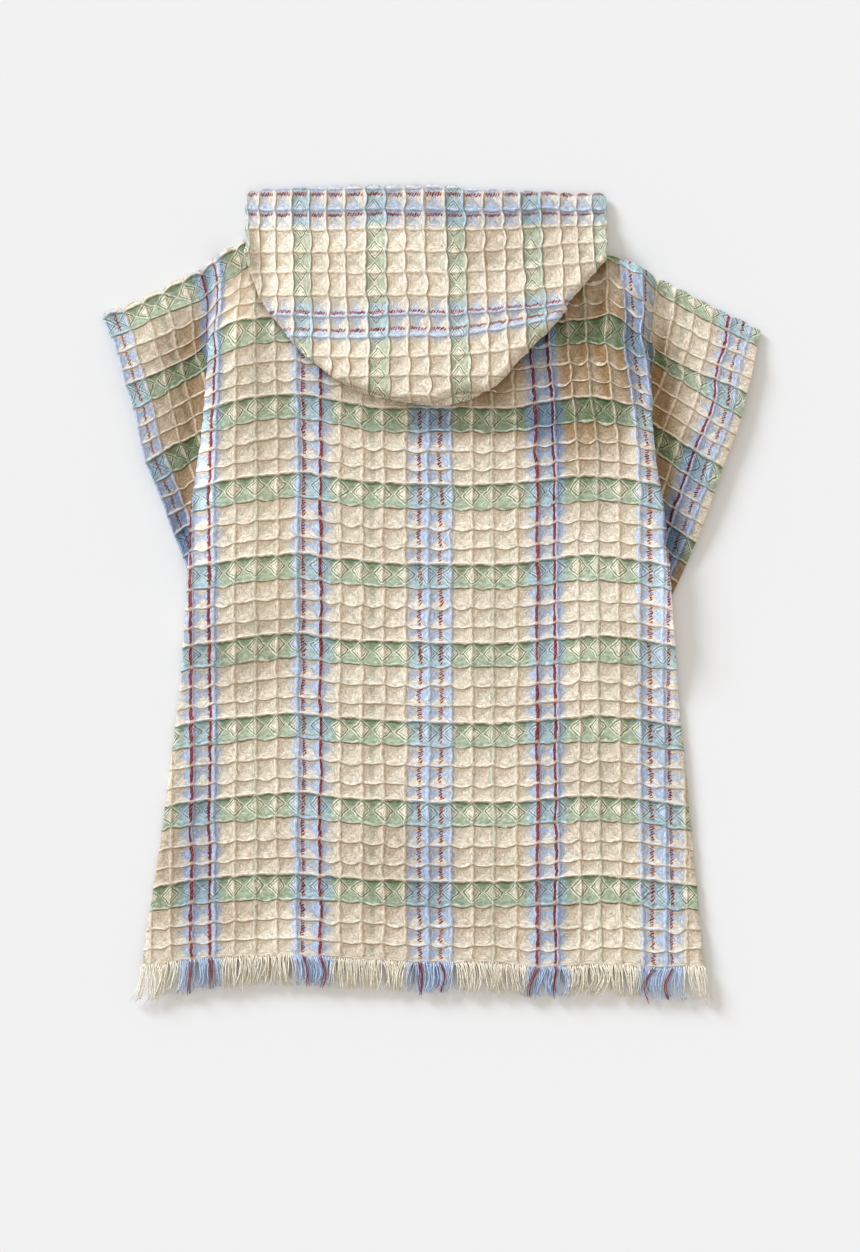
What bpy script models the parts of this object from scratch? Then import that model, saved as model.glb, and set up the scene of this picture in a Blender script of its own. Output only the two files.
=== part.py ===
"""Hooded towel for a small child, lying flat with its back upwards.

Woven waffle cloth: a front and a back, each cut in one with its two sleeves,
a hood of two rounded panels that lies on the back, and a cut fringe along the
hem. Because the sleeves lie sloping down, the spare cloth at each side folds
under the body as a narrow pleat that widens from the shoulder to the underarm.

Metres, +Z up. +X is the wearer's right as the towel lies, +Y the hood end.
The origin is at the middle of the garment's box, on the surface it lies on.
Sizes below are in millimetres.
"""

import math

import bmesh
import bpy
import numpy as np

MM = 0.001

# ---------------------------------------------------------------- cloth
WALL = 2.4  # waffle cloth, pressed by its own weight
GAP = 0.3  # between layers and at seams
PITCH = WALL + GAP
HALF = WALL / 2
BEND_IN = GAP / 2  # radius inside a fold
BEND_OUT = BEND_IN + WALL  # radius outside a fold


def level(k):
    """Height of the middle of the k-th layer of cloth above the surface."""
    return HALF + PITCH * (k - 1)


# ---------------------------------------------------------------- the cut
SHOULDER_Y = 279.0  # the straight shoulder line at the middle of the body
HEM_DROP = 566.0  # shoulder line to woven edge of the hem
ARMHOLE_DROP = 233.0  # shoulder line to underarm seam, also the sleeve's width
RIGHT_SHOULDER_TURN = 16.0  # the right shoulder lies turned this far over
SLEEVE_LENGTH_FROM_PLEAT = 92.0

# Each body section: its drop below the shoulder line, where its left and right
# edges lie, and how far the row of cloth sags there below its middle.
BODY_SECTIONS = [
    dict(drop=0, left=-174.0, right=171.0, sag_left=19.5, sag_right=14.0),
    dict(drop=30, left=-173.5, right=172.0, sag_left=21.5, sag_right=17.0),
    dict(drop=60, left=-174.7, right=172.5, sag_left=21.0, sag_right=18.5),
    dict(drop=95, left=-176.0, right=172.5, sag_left=16.0, sag_right=14.0),
    dict(drop=130, left=-178.0, right=172.5, sag_left=12.0, sag_right=10.0),
    dict(drop=170, left=-183.0, right=176.0, sag_left=11.0, sag_right=7.0),
    dict(drop=214, left=-188.5, right=183.5, sag_left=10.0, sag_right=6.0),
    dict(drop=265, left=-190.5, right=187.5, sag_left=9.5, sag_right=5.5),
    dict(drop=335, left=-195.8, right=192.5, sag_left=8.0, sag_right=5.0),
    dict(drop=430, left=-207.5, right=201.8, sag_left=7.0, sag_right=5.0),
    dict(drop=510, left=-219.0, right=209.5, sag_left=6.0, sag_right=4.0),
    dict(drop=566, left=-227.5, right=214.0, sag_left=5.0, sag_right=4.0),
]

# Each sleeve: the shoulder end of its cuff, the way the cuff runs down from
# there, and how much less of the armhole shows because the shoulder is turned.
SLEEVES = dict(
    left=dict(side=-1, cuff=(-257.5, 219.8), run=(0.3195, -0.9476), turned=0.0),
    right=dict(
        side=1, cuff=(257.5, 204.6), run=(-0.3200, -0.9474), turned=RIGHT_SHOULDER_TURN
    ),
)

PLEAT_AT_SHOULDER = 7.0
PLEAT_AT_UNDERARM = 38.0
PLEAT_OPENS_AT = 50.0  # drop at which it starts to widen
PLEAT_RUN = (0.924, -0.382)  # inward and down, along the turned-under rows
SLEEVE_SETTLES = 45.0  # past the body's edge the sleeve comes down to rest

# Rows of the two body panels, by drop. The sleeves end at the underarm row.
SLEEVE_ROWS = [0, 25, 50, 80, 115, 155, 195, ARMHOLE_DROP]
SKIRT_ROWS = [262, 298, 340, 385, 430, 475, 520, HEM_DROP]
SLEEVE_STATIONS = [0.0, 0.35, 0.7, 1.0]  # cuff to where the body covers it
BEND_STEPS = 4  # straight runs that round each fold

# ---------------------------------------------------------------- neck and hood
NECK_LEFT, NECK_RIGHT = -143.9, 137.0  # where the shoulders end at the hood
NECK_STEP = 0.7
BACK_NECK_Y = 258.0
FRONT_NECK_CENTRE_Y = 223.0
FRONT_NECK_SIDE_Y = 260.0
NECK_MIDDLE_X = (NECK_LEFT + NECK_RIGHT) / 2
NECK_HALF = (NECK_RIGHT - NECK_LEFT) / 2

HOOD_LEFT, HOOD_RIGHT = -143.5, 136.5
HOOD_TOP_Y = 319.0
HOOD_TOP_BOW = 6.0  # the face edge is this much lower at its corners
# The rounded edge of the hood, from its left corner to its right.
HOOD_EDGE = [
    dict(across=-143.5, y=262.5),
    dict(across=-139.5, y=252.0),
    dict(across=-134.0, y=233.0),
    dict(across=-120.0, y=213.5),
    dict(across=-102.2, y=192.0),
    dict(across=-73.3, y=168.5),
    dict(across=-35.5, y=157.2),
    dict(across=-4.7, y=151.0),
    dict(across=12.0, y=156.4),
    dict(across=26.0, y=160.5),
    dict(across=42.4, y=160.8),
    dict(across=51.1, y=164.8),
    dict(across=76.0, y=192.3),
    dict(across=100.4, y=216.7),
    dict(across=116.5, y=240.0),
    dict(across=136.5, y=262.0),
]
# How far the inner panel shows below the outer one.
HOOD_UNDER_PEEK = [
    dict(across=-73.3, below=0.0),
    dict(across=-35.5, below=2.5),
    dict(across=-4.7, below=3.5),
    dict(across=12.0, below=8.2),
    dict(across=26.0, below=8.4),
    dict(across=42.4, below=0.0),
]
HOOD_STATIONS = [r["across"] for r in HOOD_EDGE[2:-1]]
HOOD_REACH = 15.0  # the hood bridges rises in the back this near
WING_TIP = 4.0  # width of a wing where it meets the other at the throat

FRINGE_MIDDLE = 22.0  # length of the cut threads
FRINGE_CORNER_Y = -319.0


# ---------------------------------------------------------------- helpers
def smooth(t):
    t = min(1.0, max(0.0, t))
    return t * t * (3 - 2 * t)


def read(table, key, value, at="drop"):
    return float(np.interp(value, [r[at] for r in table], [r[key] for r in table]))


def sag(x, drop):
    """How far a row of cloth lies below its own middle at x."""
    side = "left" if x < 0 else "right"
    edge = abs(read(BODY_SECTIONS, side, drop))
    reach = 50 + 40 * min(1.0, drop / 200)
    t = max(0.0, (abs(x) - (edge - reach)) / reach)
    return read(BODY_SECTIONS, "sag_" + side, drop) * min(t, 1.15) ** 1.6


def row_y(x, drop):
    return SHOULDER_Y - drop - sag(x, drop)


def pleat(drop):
    t = max(0.0, (drop - PLEAT_OPENS_AT) / (ARMHOLE_DROP - PLEAT_OPENS_AT))
    return PLEAT_AT_SHOULDER + (PLEAT_AT_UNDERARM - PLEAT_AT_SHOULDER) * min(t, 1.0)


def body_edge(side, drop):
    x = read(BODY_SECTIONS, "left" if side < 0 else "right", drop)
    return np.array([x, row_y(x, drop)])


def pleat_inside(side, drop):
    """The hidden fold of the pleat, under the body."""
    return body_edge(side, drop) + pleat(drop) * np.array(
        [-side * PLEAT_RUN[0], PLEAT_RUN[1]]
    )


def cuff_point(sleeve, drop):
    down = max(0.0, drop - sleeve["turned"])
    return np.array(sleeve["cuff"]) + down * np.array(sleeve["run"])


def turned_drop(x, drop):
    """The right shoulder is turned over, so its rows start lower on the cut."""
    return drop + RIGHT_SHOULDER_TURN * smooth((x + 144) / 288) * max(
        0.0, 1 - drop / ARMHOLE_DROP
    )


def stack(drop):
    """1 where the pleat and sleeve lift the cloth, 0 well below them."""
    return 1 - smooth((drop - ARMHOLE_DROP - 58) / 75)


def lift(x, drop):
    """Share of the pleat's height that the back of the body has at x."""
    side = -1 if x < 0 else 1
    inside = abs(pleat_inside(side, min(drop, ARMHOLE_DROP))[0])
    width = 14 + 46 * min(1.0, drop / 150)
    return stack(drop) * (1 - smooth((inside - 3 - abs(x)) / width))


def drop_at(x, y):
    """The drop of the row of cloth that passes through x, y."""
    low, high = 0.0, HEM_DROP
    for _ in range(40):
        mid = (low + high) / 2
        if row_y(x, mid) > y:
            low = mid
        else:
            high = mid
    return low


def edge_at(side, y):
    """How far out the body's edge lies at height y."""
    low, high = 0.0, HEM_DROP
    for _ in range(40):
        mid = (low + high) / 2
        if body_edge(side, mid)[1] > y:
            low = mid
        else:
            high = mid
    return abs(body_edge(side, low)[0])


def back_height(x, y):
    """Middle of the back panel over the point x, y."""
    return level(2) + 4 * PITCH * lift(x, drop_at(x, y))


def highest_back(x, y, reach):
    """The back panel's greatest height within reach of x, y."""
    return max(
        back_height(x + dx, y + dy)
        for dx in (-reach, 0.0, reach)
        for dy in (-reach, 0.0, reach)
    )


def front_neck_y(x):
    """The scoop of the front neckline."""
    t = min(1.0, abs(x - NECK_MIDDLE_X) / NECK_HALF)
    return FRONT_NECK_CENTRE_Y + (FRONT_NECK_SIDE_Y - FRONT_NECK_CENTRE_Y) * t**1.7


def front_neck_edge(x):
    """The front panel's own faceted neckline at x."""
    stations = [s for s in body_stations(0) if NECK_LEFT <= s <= NECK_RIGHT]
    return float(np.interp(x, stations, [front_neck_y(s) for s in stations]))


def material(name, colour, roughness=0.9):
    m = bpy.data.materials.new(name)
    m.use_nodes = True
    shader = m.node_tree.nodes["Principled BSDF"]
    shader.inputs["Base Color"].default_value = (*colour, 1)
    shader.inputs["Roughness"].default_value = roughness
    shader.inputs["Metallic"].default_value = 0.0
    return m


def solid(name, top, bottom, present, colour):
    """A closed wall of cloth between two grids of points.

    top and bottom are [row][station] points, and present says which cells
    between them hold cloth. Their outline is closed by the wall's edge.
    """
    rows, stations = len(top), len(top[0])
    bm = bmesh.new()
    verts = {}

    def vert(skin, r, s):
        if (skin, r, s) not in verts:
            p = (top if skin else bottom)[r][s]
            verts[skin, r, s] = bm.verts.new([c * MM for c in p])
        return verts[skin, r, s]

    def cell(r, s):
        return 0 <= r < rows - 1 and 0 <= s < stations - 1 and present(r, s)

    for r in range(rows - 1):
        for s in range(stations - 1):
            if not cell(r, s):
                continue
            ring = [(r, s), (r, s + 1), (r + 1, s + 1), (r + 1, s)]
            bm.faces.new([vert(1, *p) for p in reversed(ring)])
            bm.faces.new([vert(0, *p) for p in ring])
            beside = [(r - 1, s), (r, s + 1), (r + 1, s), (r, s - 1)]
            for k, other in enumerate(beside):
                if not cell(*other):
                    a, b = ring[k], ring[(k + 1) % 4]
                    bm.faces.new([vert(1, *a), vert(1, *b), vert(0, *b), vert(0, *a)])
    bmesh.ops.triangulate(bm, faces=bm.faces[:])
    bmesh.ops.recalc_face_normals(bm, faces=bm.faces[:])
    mesh = bpy.data.meshes.new(name)
    bm.to_mesh(mesh)
    bm.free()
    obj = bpy.data.objects.new(name, mesh)
    bpy.context.scene.collection.objects.link(obj)
    mesh.materials.append(colour)
    mesh.shade_smooth()
    mesh.set_sharp_from_angle(angle=math.radians(40))
    return obj


def bend(at, out, z, up, top_is_outside):
    """Pairs of points round a fold: at is its middle line, out the way it
    bulges, z its height, and up whether the cloth turns upwards."""
    pairs = []
    for k in range(BEND_STEPS + 1):
        a = math.pi * (k / BEND_STEPS - 0.5) * (1 if up else -1)
        both = []
        for radius in (
            (BEND_OUT, BEND_IN) if top_is_outside else (BEND_IN, BEND_OUT)
        ):
            xy = at + out * radius * math.cos(a)
            both.append((xy[0], xy[1], z + radius * math.sin(a)))
        pairs.append(both)
    return pairs


# ---------------------------------------------------------------- body panels
def side_stations(sleeve, drop, back):
    """Pairs from the cuff to the body's fold, on one side of one panel."""
    side = sleeve["side"]
    arm = min(drop, ARMHOLE_DROP)
    edge, inside = body_edge(side, drop), pleat_inside(side, arm)
    if drop > ARMHOLE_DROP:
        inside = edge + (inside - body_edge(side, arm))
    inward = np.array([-side, 0.0])
    first = level(4) if back else level(3)
    rise = stack(drop)
    notch = inside - inward * BEND_OUT
    cuff = cuff_point(sleeve, arm)
    # The row passes under the body's edge at this share of its way.
    covered = 0.04
    while covered < 0.96:
        xy = cuff + (notch - cuff) * covered
        if side * xy[0] <= edge_at(side, xy[1]):
            break
        covered += 0.01
    pairs = []
    for f in [covered * s for s in SLEEVE_STATIONS] + [1.0]:
        xy = cuff + (notch - cuff) * f
        beyond = side * xy[0] - edge_at(side, xy[1]) - 2
        z = first - 2 * PITCH * smooth(beyond / SLEEVE_SETTLES)
        pairs.append([(xy[0], xy[1], z + HALF), (xy[0], xy[1], z - HALF)])
    turn = PITCH / 2 if back else -PITCH / 2
    inner = bend(notch, inward, first + turn, back, not back)
    fold = edge + inward * BEND_OUT
    # Below the underarm the fold goes on as the body's side edge.
    height = (
        level(2) + 4 * PITCH * rise - PITCH / 2 if back else level(1) + PITCH / 2
    )
    outer = bend(fold, -inward, height, back, back)
    return pairs + inner[1:] + outer


def body_stations(drop):
    """Where the body's own stations stand across one row."""
    grow = min(1.0, drop / 200)
    found = []
    for side in (-1, 1):
        edge, arm = body_edge(side, drop), min(drop, ARMHOLE_DROP)
        reach = abs(edge[0])
        neck = abs(NECK_LEFT if side < 0 else NECK_RIGHT)
        inside = reach - pleat(arm) * PLEAT_RUN[0] - 3
        row = [
            inside,
            neck + NECK_STEP - 12 * grow,
            neck - 32 * grow,
            neck * 0.80 - 20 * grow,
            neck * 0.55 - 8 * grow,
            neck * 0.27,
        ]
        found.append([side * x for x in row])
    return found[0] + [NECK_MIDDLE_X] + found[1][::-1]


def top_drop(x, back):
    """Drop of the panel's upper edge: shoulders, and the neckline between."""
    shoulder = turned_drop(x, 0)
    if NECK_LEFT <= x <= NECK_RIGHT:
        return drop_at(x, BACK_NECK_Y if back else front_neck_y(x))
    return shoulder


def body_panel(name, back, colour):
    top, bottom = [], []
    drops = SLEEVE_ROWS + SKIRT_ROWS
    ease = 115.0  # rows above this are drawn in to follow the neckline
    for drop in drops:
        pairs = side_stations(SLEEVES["left"], drop, back)
        for x in body_stations(drop):
            upper = top_drop(x, back) if drop < ease else 0
            d = upper + drop * (1 - upper / ease) if drop < ease else drop
            y = row_y(x, d)
            z = level(2) + 4 * PITCH * lift(x, d) if back else level(1)
            pairs.append([(x, y, z + HALF), (x, y, z - HALF)])
        right = turned_drop(200, drop)
        pairs += side_stations(SLEEVES["right"], right, back)[::-1]
        top.append([p[0] for p in pairs])
        bottom.append([p[1] for p in pairs])
    sleeve_cells = len(SLEEVE_ROWS) - 1
    # Past the underarm a panel's edge starts half way round its bend.
    first = len(SLEEVE_STATIONS) + 1 + BEND_STEPS + BEND_STEPS // 2 + 1
    last = len(top[0]) - 1 - first

    def present(r, s):
        return r < sleeve_cells or first <= s < last

    return solid(name, top, bottom, present, colour)


# ---------------------------------------------------------------- hood
def hood_top_y(x):
    half = (HOOD_RIGHT - HOOD_LEFT) / 2
    return HOOD_TOP_Y - HOOD_TOP_BOW * ((x - HOOD_LEFT - half) / half) ** 2


def hood_edge_y(x):
    return read(HOOD_EDGE, "y", x, at="across")


def hood_height(x, y):
    """Middle of the outer hood panel: on the hood's inner panel over the back,
    and down on its own wings past the shoulders."""
    over = highest_back(x, min(y, SHOULDER_Y - 24), HOOD_REACH) + 2 * PITCH
    return over + (level(2) - over) * smooth((y - 270) / 36)


def wing_rows(x):
    """Upper and lower edge of a wing, the part that runs round to the throat."""
    side = HOOD_LEFT if x < NECK_MIDDLE_X else HOOD_RIGHT
    t = (x - NECK_MIDDLE_X) / (side - NECK_MIDDLE_X)
    low = front_neck_edge(x) + GAP
    side_height = hood_top_y(side) - FRONT_NECK_SIDE_Y - GAP
    return low + WING_TIP + (side_height - WING_TIP) * t**0.9, low


def hood_outer(colour):
    rows = 9
    columns = []
    for side, edge in ((-1, HOOD_LEFT), (1, HOOD_RIGHT)):
        group = []
        tip = NECK_MIDDLE_X + side * GAP
        fold = edge - side * BEND_OUT
        for f in (0.0, 0.3, 0.6, 0.85, 1.0):
            group.append(("wing", tip + (fold - tip) * f, None))
        for k in range(1, BEND_STEPS + 1):
            group.append(("bend", fold, (k, side)))
        columns.append(group)
    every = columns[0] + [("panel", x, None) for x in HOOD_STATIONS] + columns[1][::-1]
    top, bottom = [], []
    for r in range(rows):
        f = (r / (rows - 1)) ** 0.9
        upper_row, lower_row = [], []
        for kind, x, more in every:
            if kind == "wing":
                high, low = wing_rows(x)
                y = high + (low - high) * f
                # The wing is the cloth turned under, so its outside is below.
                a, b = (x, y, level(1) - HALF), (x, y, level(1) + HALF)
            elif kind == "bend":
                k, side = more
                high, low = hood_top_y(x), FRONT_NECK_SIDE_Y + 2 * GAP
                y = high + (low - high) * f
                angle = math.pi * (k / BEND_STEPS - 0.5)
                over = hood_height(x, y)
                z, tall = (level(1) + over) / 2, (over - level(1)) / 2
                a, b = (
                    (
                        x + side * wide * math.cos(angle),
                        y,
                        z + (tall + more_z) * math.sin(angle),
                    )
                    for wide, more_z in ((BEND_OUT, HALF), (BEND_IN, -HALF))
                )
            else:
                high, low = hood_top_y(x), hood_edge_y(x)
                y = high + (low - high) * f
                z = hood_height(x, y)
                a, b = (x, y, z + HALF), (x, y, z - HALF)
            upper_row.append(a)
            lower_row.append(b)
        top.append(upper_row)
        bottom.append(lower_row)
    return solid("hood_outer", top, bottom, lambda r, s: True, colour)


def hood_under(colour):
    rows = 6
    across = [HOOD_STATIONS[0] + 1, *HOOD_STATIONS[1:]]
    top, bottom = [], []
    for r in range(rows):
        upper_row, lower_row = [], []
        for x in across:
            peek = read(HOOD_UNDER_PEEK, "below", x, at="across")
            high = BACK_NECK_Y + 1.0
            low = hood_edge_y(x) + (-peek if peek > 0 else 1.5)
            y = high + (low - high) * r / (rows - 1)
            z = highest_back(x, min(y, BACK_NECK_Y), HOOD_REACH - 3) + PITCH
            upper_row.append((x, y, z + HALF))
            lower_row.append((x, y, z - HALF))
        top.append(upper_row)
        bottom.append(lower_row)
    return solid("hood_under", top, bottom, lambda r, s: True, colour)


# ---------------------------------------------------------------- fringe
def fringe(name, back, colour):
    """The reach of the cut threads below one panel's woven edge."""
    left = body_edge(-1, HEM_DROP)[0]
    right = body_edge(1, HEM_DROP)[0]
    stations = [left, left + BEND_OUT]
    stations += body_stations(HEM_DROP)
    stations += [right - BEND_OUT, right]
    middle, half_width = (left + right) / 2, (right - left) / 2
    lift_root = level(2) if back else level(1)
    root_half, tip_half = HALF, 0.8
    tip_mid = tip_half + (2 * tip_half + GAP if back else 0)
    top, bottom = [], []
    for f in (0.0, 0.5, 1.0):
        upper_row, lower_row = [], []
        for x in stations:
            corner = min(1.0, abs(x - middle) / half_width) ** 3
            root = row_y(x, HEM_DROP) - 2 * GAP
            tip = SHOULDER_Y - HEM_DROP - FRINGE_MIDDLE
            tip += (FRINGE_CORNER_Y - tip) * corner
            splay = (x - middle) * 0.03 * f
            y = root + (tip - root) * f
            z = lift_root + (tip_mid - lift_root) * f
            half = root_half + (tip_half - root_half) * f
            upper_row.append((x + splay, y, z + half))
            lower_row.append((x + splay, y, z - half))
        top.append(upper_row)
        bottom.append(lower_row)
    return solid(name, top, bottom, lambda r, s: True, colour)


def main():
    for obj in list(bpy.data.objects):
        bpy.data.objects.remove(obj)
    cream = (0.76, 0.66, 0.52)
    body_panel("front_panel", False, material("waffle_front", cream))
    body_panel("back_panel", True, material("waffle_back", cream))
    hood_under(material("waffle_hood_under", (0.58, 0.60, 0.50)))
    hood_outer(material("waffle_hood_outer", (0.72, 0.66, 0.56)))
    fringe("hem_fringe_front", False, material("fringe_front", (0.70, 0.62, 0.52)))
    fringe("hem_fringe_back", True, material("fringe_back", (0.70, 0.62, 0.52)))


main()
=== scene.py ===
"""Looks of the hooded waffle towel: cloth, fringe, floor, light and camera."""

import json
import math

import bpy
import numpy as np
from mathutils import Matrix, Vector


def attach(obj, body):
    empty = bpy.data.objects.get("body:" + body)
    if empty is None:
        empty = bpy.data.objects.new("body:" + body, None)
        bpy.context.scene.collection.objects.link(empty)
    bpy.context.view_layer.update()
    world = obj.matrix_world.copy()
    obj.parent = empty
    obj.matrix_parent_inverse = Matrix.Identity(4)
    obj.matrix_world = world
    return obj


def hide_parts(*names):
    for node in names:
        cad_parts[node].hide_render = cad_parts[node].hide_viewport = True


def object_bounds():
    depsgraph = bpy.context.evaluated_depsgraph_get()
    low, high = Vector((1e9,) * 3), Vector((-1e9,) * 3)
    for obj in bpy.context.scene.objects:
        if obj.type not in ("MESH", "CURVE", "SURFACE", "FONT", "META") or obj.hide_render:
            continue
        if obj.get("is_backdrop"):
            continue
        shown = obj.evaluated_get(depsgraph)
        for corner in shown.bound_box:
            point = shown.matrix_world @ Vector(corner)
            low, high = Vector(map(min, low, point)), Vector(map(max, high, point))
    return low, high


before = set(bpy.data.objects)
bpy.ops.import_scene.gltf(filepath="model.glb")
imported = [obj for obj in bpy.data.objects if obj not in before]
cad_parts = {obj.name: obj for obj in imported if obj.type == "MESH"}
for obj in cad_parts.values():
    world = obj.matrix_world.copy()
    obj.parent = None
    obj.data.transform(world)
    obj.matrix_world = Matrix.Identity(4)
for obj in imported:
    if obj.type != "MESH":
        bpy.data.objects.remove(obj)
cad_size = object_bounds()
rng = np.random.default_rng(4107)
MM = 0.001

# ---------------------------------------------------------------- the lie
# All lengths in millimetres. w counts the warp ridges of the waffle from the
# middle of the body, t the weft ridges from the shoulder; every fourth row of
# cells, from t = 0, has a green weft and is taller than the others.
WALL, GAP = 2.4, 0.3
PITCH, HALF = WALL + GAP, WALL / 2
BEND = 1.35  # middle line of a fold
BEND_OUT = 2.55
SHOULDER_Y = 279.0
ARMHOLE, HEM_T = 233.0, 36.14
ARM_T = 14.8
CELL = 15.66
PERIOD = 62.64
ROW_NODES = [0.0, 18.2, 33.9, 49.4, 62.64]
ROW_SAG = [-0.03, 0.12, 0.15, 0.14]  # how each weft ridge hangs mid cell

# drop, left and right edge, sag at the left and right edge
SECTIONS = np.array(
    [
        (0, -174.0, 171.0, 19.5, 14.0),
        (30, -173.5, 172.0, 21.5, 17.0),
        (60, -174.7, 172.5, 21.0, 18.5),
        (95, -176.0, 172.5, 16.0, 14.0),
        (130, -178.0, 172.5, 12.0, 10.0),
        (170, -183.0, 176.0, 11.0, 7.0),
        (214, -188.5, 183.5, 10.0, 6.0),
        (265, -190.5, 187.5, 9.5, 5.5),
        (335, -195.8, 192.5, 8.0, 5.0),
        (430, -207.5, 201.8, 7.0, 5.0),
        (510, -219.0, 209.5, 6.0, 4.0),
        (566, -227.5, 214.0, 5.0, 4.0),
    ]
)
# Where each warp ridge runs, at the shoulder and down the skirt.
RIDGES = np.arange(-14, 14)
SHOULDER_X = np.array(
    [-209, -197, -186.5, -175.5, -163.8, -152.9, -138.5, -122.5, -106, -87.5, -71.5]
    + [-54.5, -37.5, -20.5, -3, 14, 30, 45.5, 62, 77, 90.5, 104.5, 119, 134.5]
    + [149.3, 162.6, 175.5, 190]
)
SKIRT_X = np.array(
    [-235.5, -219, -203.2, -186.4, -169.3, -153.3, -136.8, -120.5, -104.9, -86.6, -71.4]
    + [-54.2, -37.4, -20.3, -2.3, 15.4, 32.2, 48.4, 66.5, 83.6, 98.4, 115, 130.3]
    + [146.3, 162.2, 180.2, 196, 212]
)
# The rows ride a little higher on each side of the middle.
WAVE = np.array(
    [(-240, 0), (-186, 3.6), (-154, 4), (-105, 5.6), (-86, 4.2), (-71, 3), (-30, 1)]
    + [(0, 0), (60, 0), (98, 2), (129, 4), (160, 3.5), (186, 1), (240, 0)]
)
# Shoulders and upper sleeves, where the cloth bends down in one smooth curve:
# the crossings of weft ridges 0 to 4 with the warp ridges out to the cuff.
NET_MIDDLE, NET_SCALE = (431.0, 596.0), 0.78
LEFT_W = [-9, -10, -11, -12, -13, -14, -15, -16.05]
LEFT_NET = [
    [(235, 250), (218, 261), (202, 272), (183, 282.5), (163, 293), (143, 302)]
    + [(123.5, 310.5), (102, 318)],
    [(239.5, 270), (221.5, 281), (207, 293), (191, 303.5), (168.5, 311.5)]
    + [(149, 319.5), (130, 329.5), (110, 337.5)],
    [(237.5, 288), (221, 298), (208, 312), (192, 320.5), (173, 329), (154.5, 337.5)]
    + [(134.5, 345), (116.5, 353)],
    [(236.8, 305), (219.6, 316), (207.5, 328.5), (193, 338.7), (175.4, 348)]
    + [(159, 355), (140, 362.8), (121.5, 370)],
    [(235.6, 321), (218.4, 330), (208, 343), (196, 353), (180.5, 361.7)]
    + [(164, 369.7), (144.4, 377.8), (125, 384.5)],
]
RIGHT_W = [9, 10, 11, 12, 13, 14, 15, 16, 17, 17.6]
RIGHT_NET = [
    [(604, 240), (621, 246), (639, 257), (658, 268), (676, 280), (694.3, 293)]
    + [(713, 303), (731, 312), (751, 322), (763, 329)],
    [(606, 258), (622.6, 264), (639.5, 273), (656, 288), (674, 300), (692.7, 312)]
    + [(711, 322), (728.5, 330.5), (747, 340), (758.5, 346)],
    [(607, 277), (624.7, 288), (640.4, 300), (653.5, 311), (672.5, 319)]
    + [(690.4, 329.3), (708, 340), (726, 348), (743, 355), (755.5, 361)],
    [(608, 297), (626, 308), (640, 318.5), (651, 329.5), (668.5, 338.5)]
    + [(686.5, 349.5), (704, 359), (720.5, 366), (738.5, 372.5), (752, 378)],
    [(608.5, 313), (626.5, 323), (638.7, 334), (650, 344), (665, 354)]
    + [(682, 364), (699, 372.5), (717, 380), (736, 386.5), (747.8, 393)],
]
# The cuffs below that, by weft ridge.
LEFT_CUFF = [(3.9, 124.7, 383.2), (5, 132.9, 408.8), (8, 144.4, 460.8), (9, 153.6, 481.5)]
LEFT_CUFF += [(12, 173, 533.8), (13, 182, 556), (14.8, 197, 597), (15.2, 200, 605)]
RIGHT_CUFF = [(3.9, 748.2, 391.8), (5, 742.5, 417), (8, 724, 467), (9, 715.5, 491.5)]
RIGHT_CUFF += [(12, 697.5, 541), (13, 688, 563.6), (14.8, 672, 597), (15.2, 668, 605)]
CUFF_W = {-1: -16.05, 1: 17.6}
SLEEVE_CELL = 15.3
# How deep the side pleat is, by drop.
PLEAT = {
    -1: [(50, -3.0), (62, 0.5), (113, 15.5), (178, 26.5), (233, 38.5), (300, 38.5)],
    1: [(60, -3.0), (76, 0.5), (128, 12.5), (170, 24.0), (212, 34.0), (233, 38.0)],
}


def smooth(t):
    t = np.clip(t, 0.0, 1.0)
    return t * t * (3 - 2 * t)


def table(rows, at, column=1):
    rows = np.asarray(rows, float)
    return np.interp(at, rows[:, 0], rows[:, column])


def through(xs, ys, x):
    """A smooth curve through the points, without overshoot."""
    xs, ys = np.asarray(xs, float), np.asarray(ys, float)
    x = np.clip(x, xs[0], xs[-1])
    h = np.diff(xs)
    d = np.diff(ys) / h
    m = np.zeros_like(ys)
    same = d[:-1] * d[1:] > 0
    m[1:-1] = np.where(same, 2 * d[:-1] * d[1:] / (d[:-1] + d[1:] + 1e-12), 0)
    m[0], m[-1] = d[0], d[-1]
    i = np.clip(np.searchsorted(xs, x, side="right") - 1, 0, len(xs) - 2)
    u = (x - xs[i]) / h[i]
    return (
        ys[i] * (2 * u**3 - 3 * u**2 + 1)
        + m[i] * h[i] * (u**3 - 2 * u**2 + u)
        + ys[i + 1] * (3 * u**2 - 2 * u**3)
        + m[i + 1] * h[i] * (u**3 - u**2)
    )


def level(k):
    return HALF + PITCH * (k - 1)


def drop_of(t):
    whole = np.floor(t / 4)
    return -0.4 + PERIOD * whole + np.interp(t - 4 * whole, range(5), ROW_NODES)


def count_of(v):
    whole = np.floor((v + 0.4) / PERIOD)
    return 4 * whole + np.interp(v + 0.4 - PERIOD * whole, ROW_NODES, range(5))


def section(v, column):
    return np.interp(v, SECTIONS[:, 0], SECTIONS[:, column])


# Below the hood's tip the rows hang lower in the middle, and the last cells
# are stretched at the right of the hem.
DIP = [(60, 5.0), (125, 6.8), (188, 4.2), (250, 3.4), (313, 2.7), (376, 1.6), (566, 0.5)]


def wave(x, v):
    rise = table(WAVE, x) * smooth((v - 10) / 180)
    dip = table(DIP, v) * smooth((x + 108) / 66) * (1 - smooth((x - 48) / 76))
    late = 6.0 * smooth((x - 45) / 50) * (1 - smooth((x - 165) / 50)) * smooth((v - 505) / 45)
    return rise - dip - late


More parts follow.
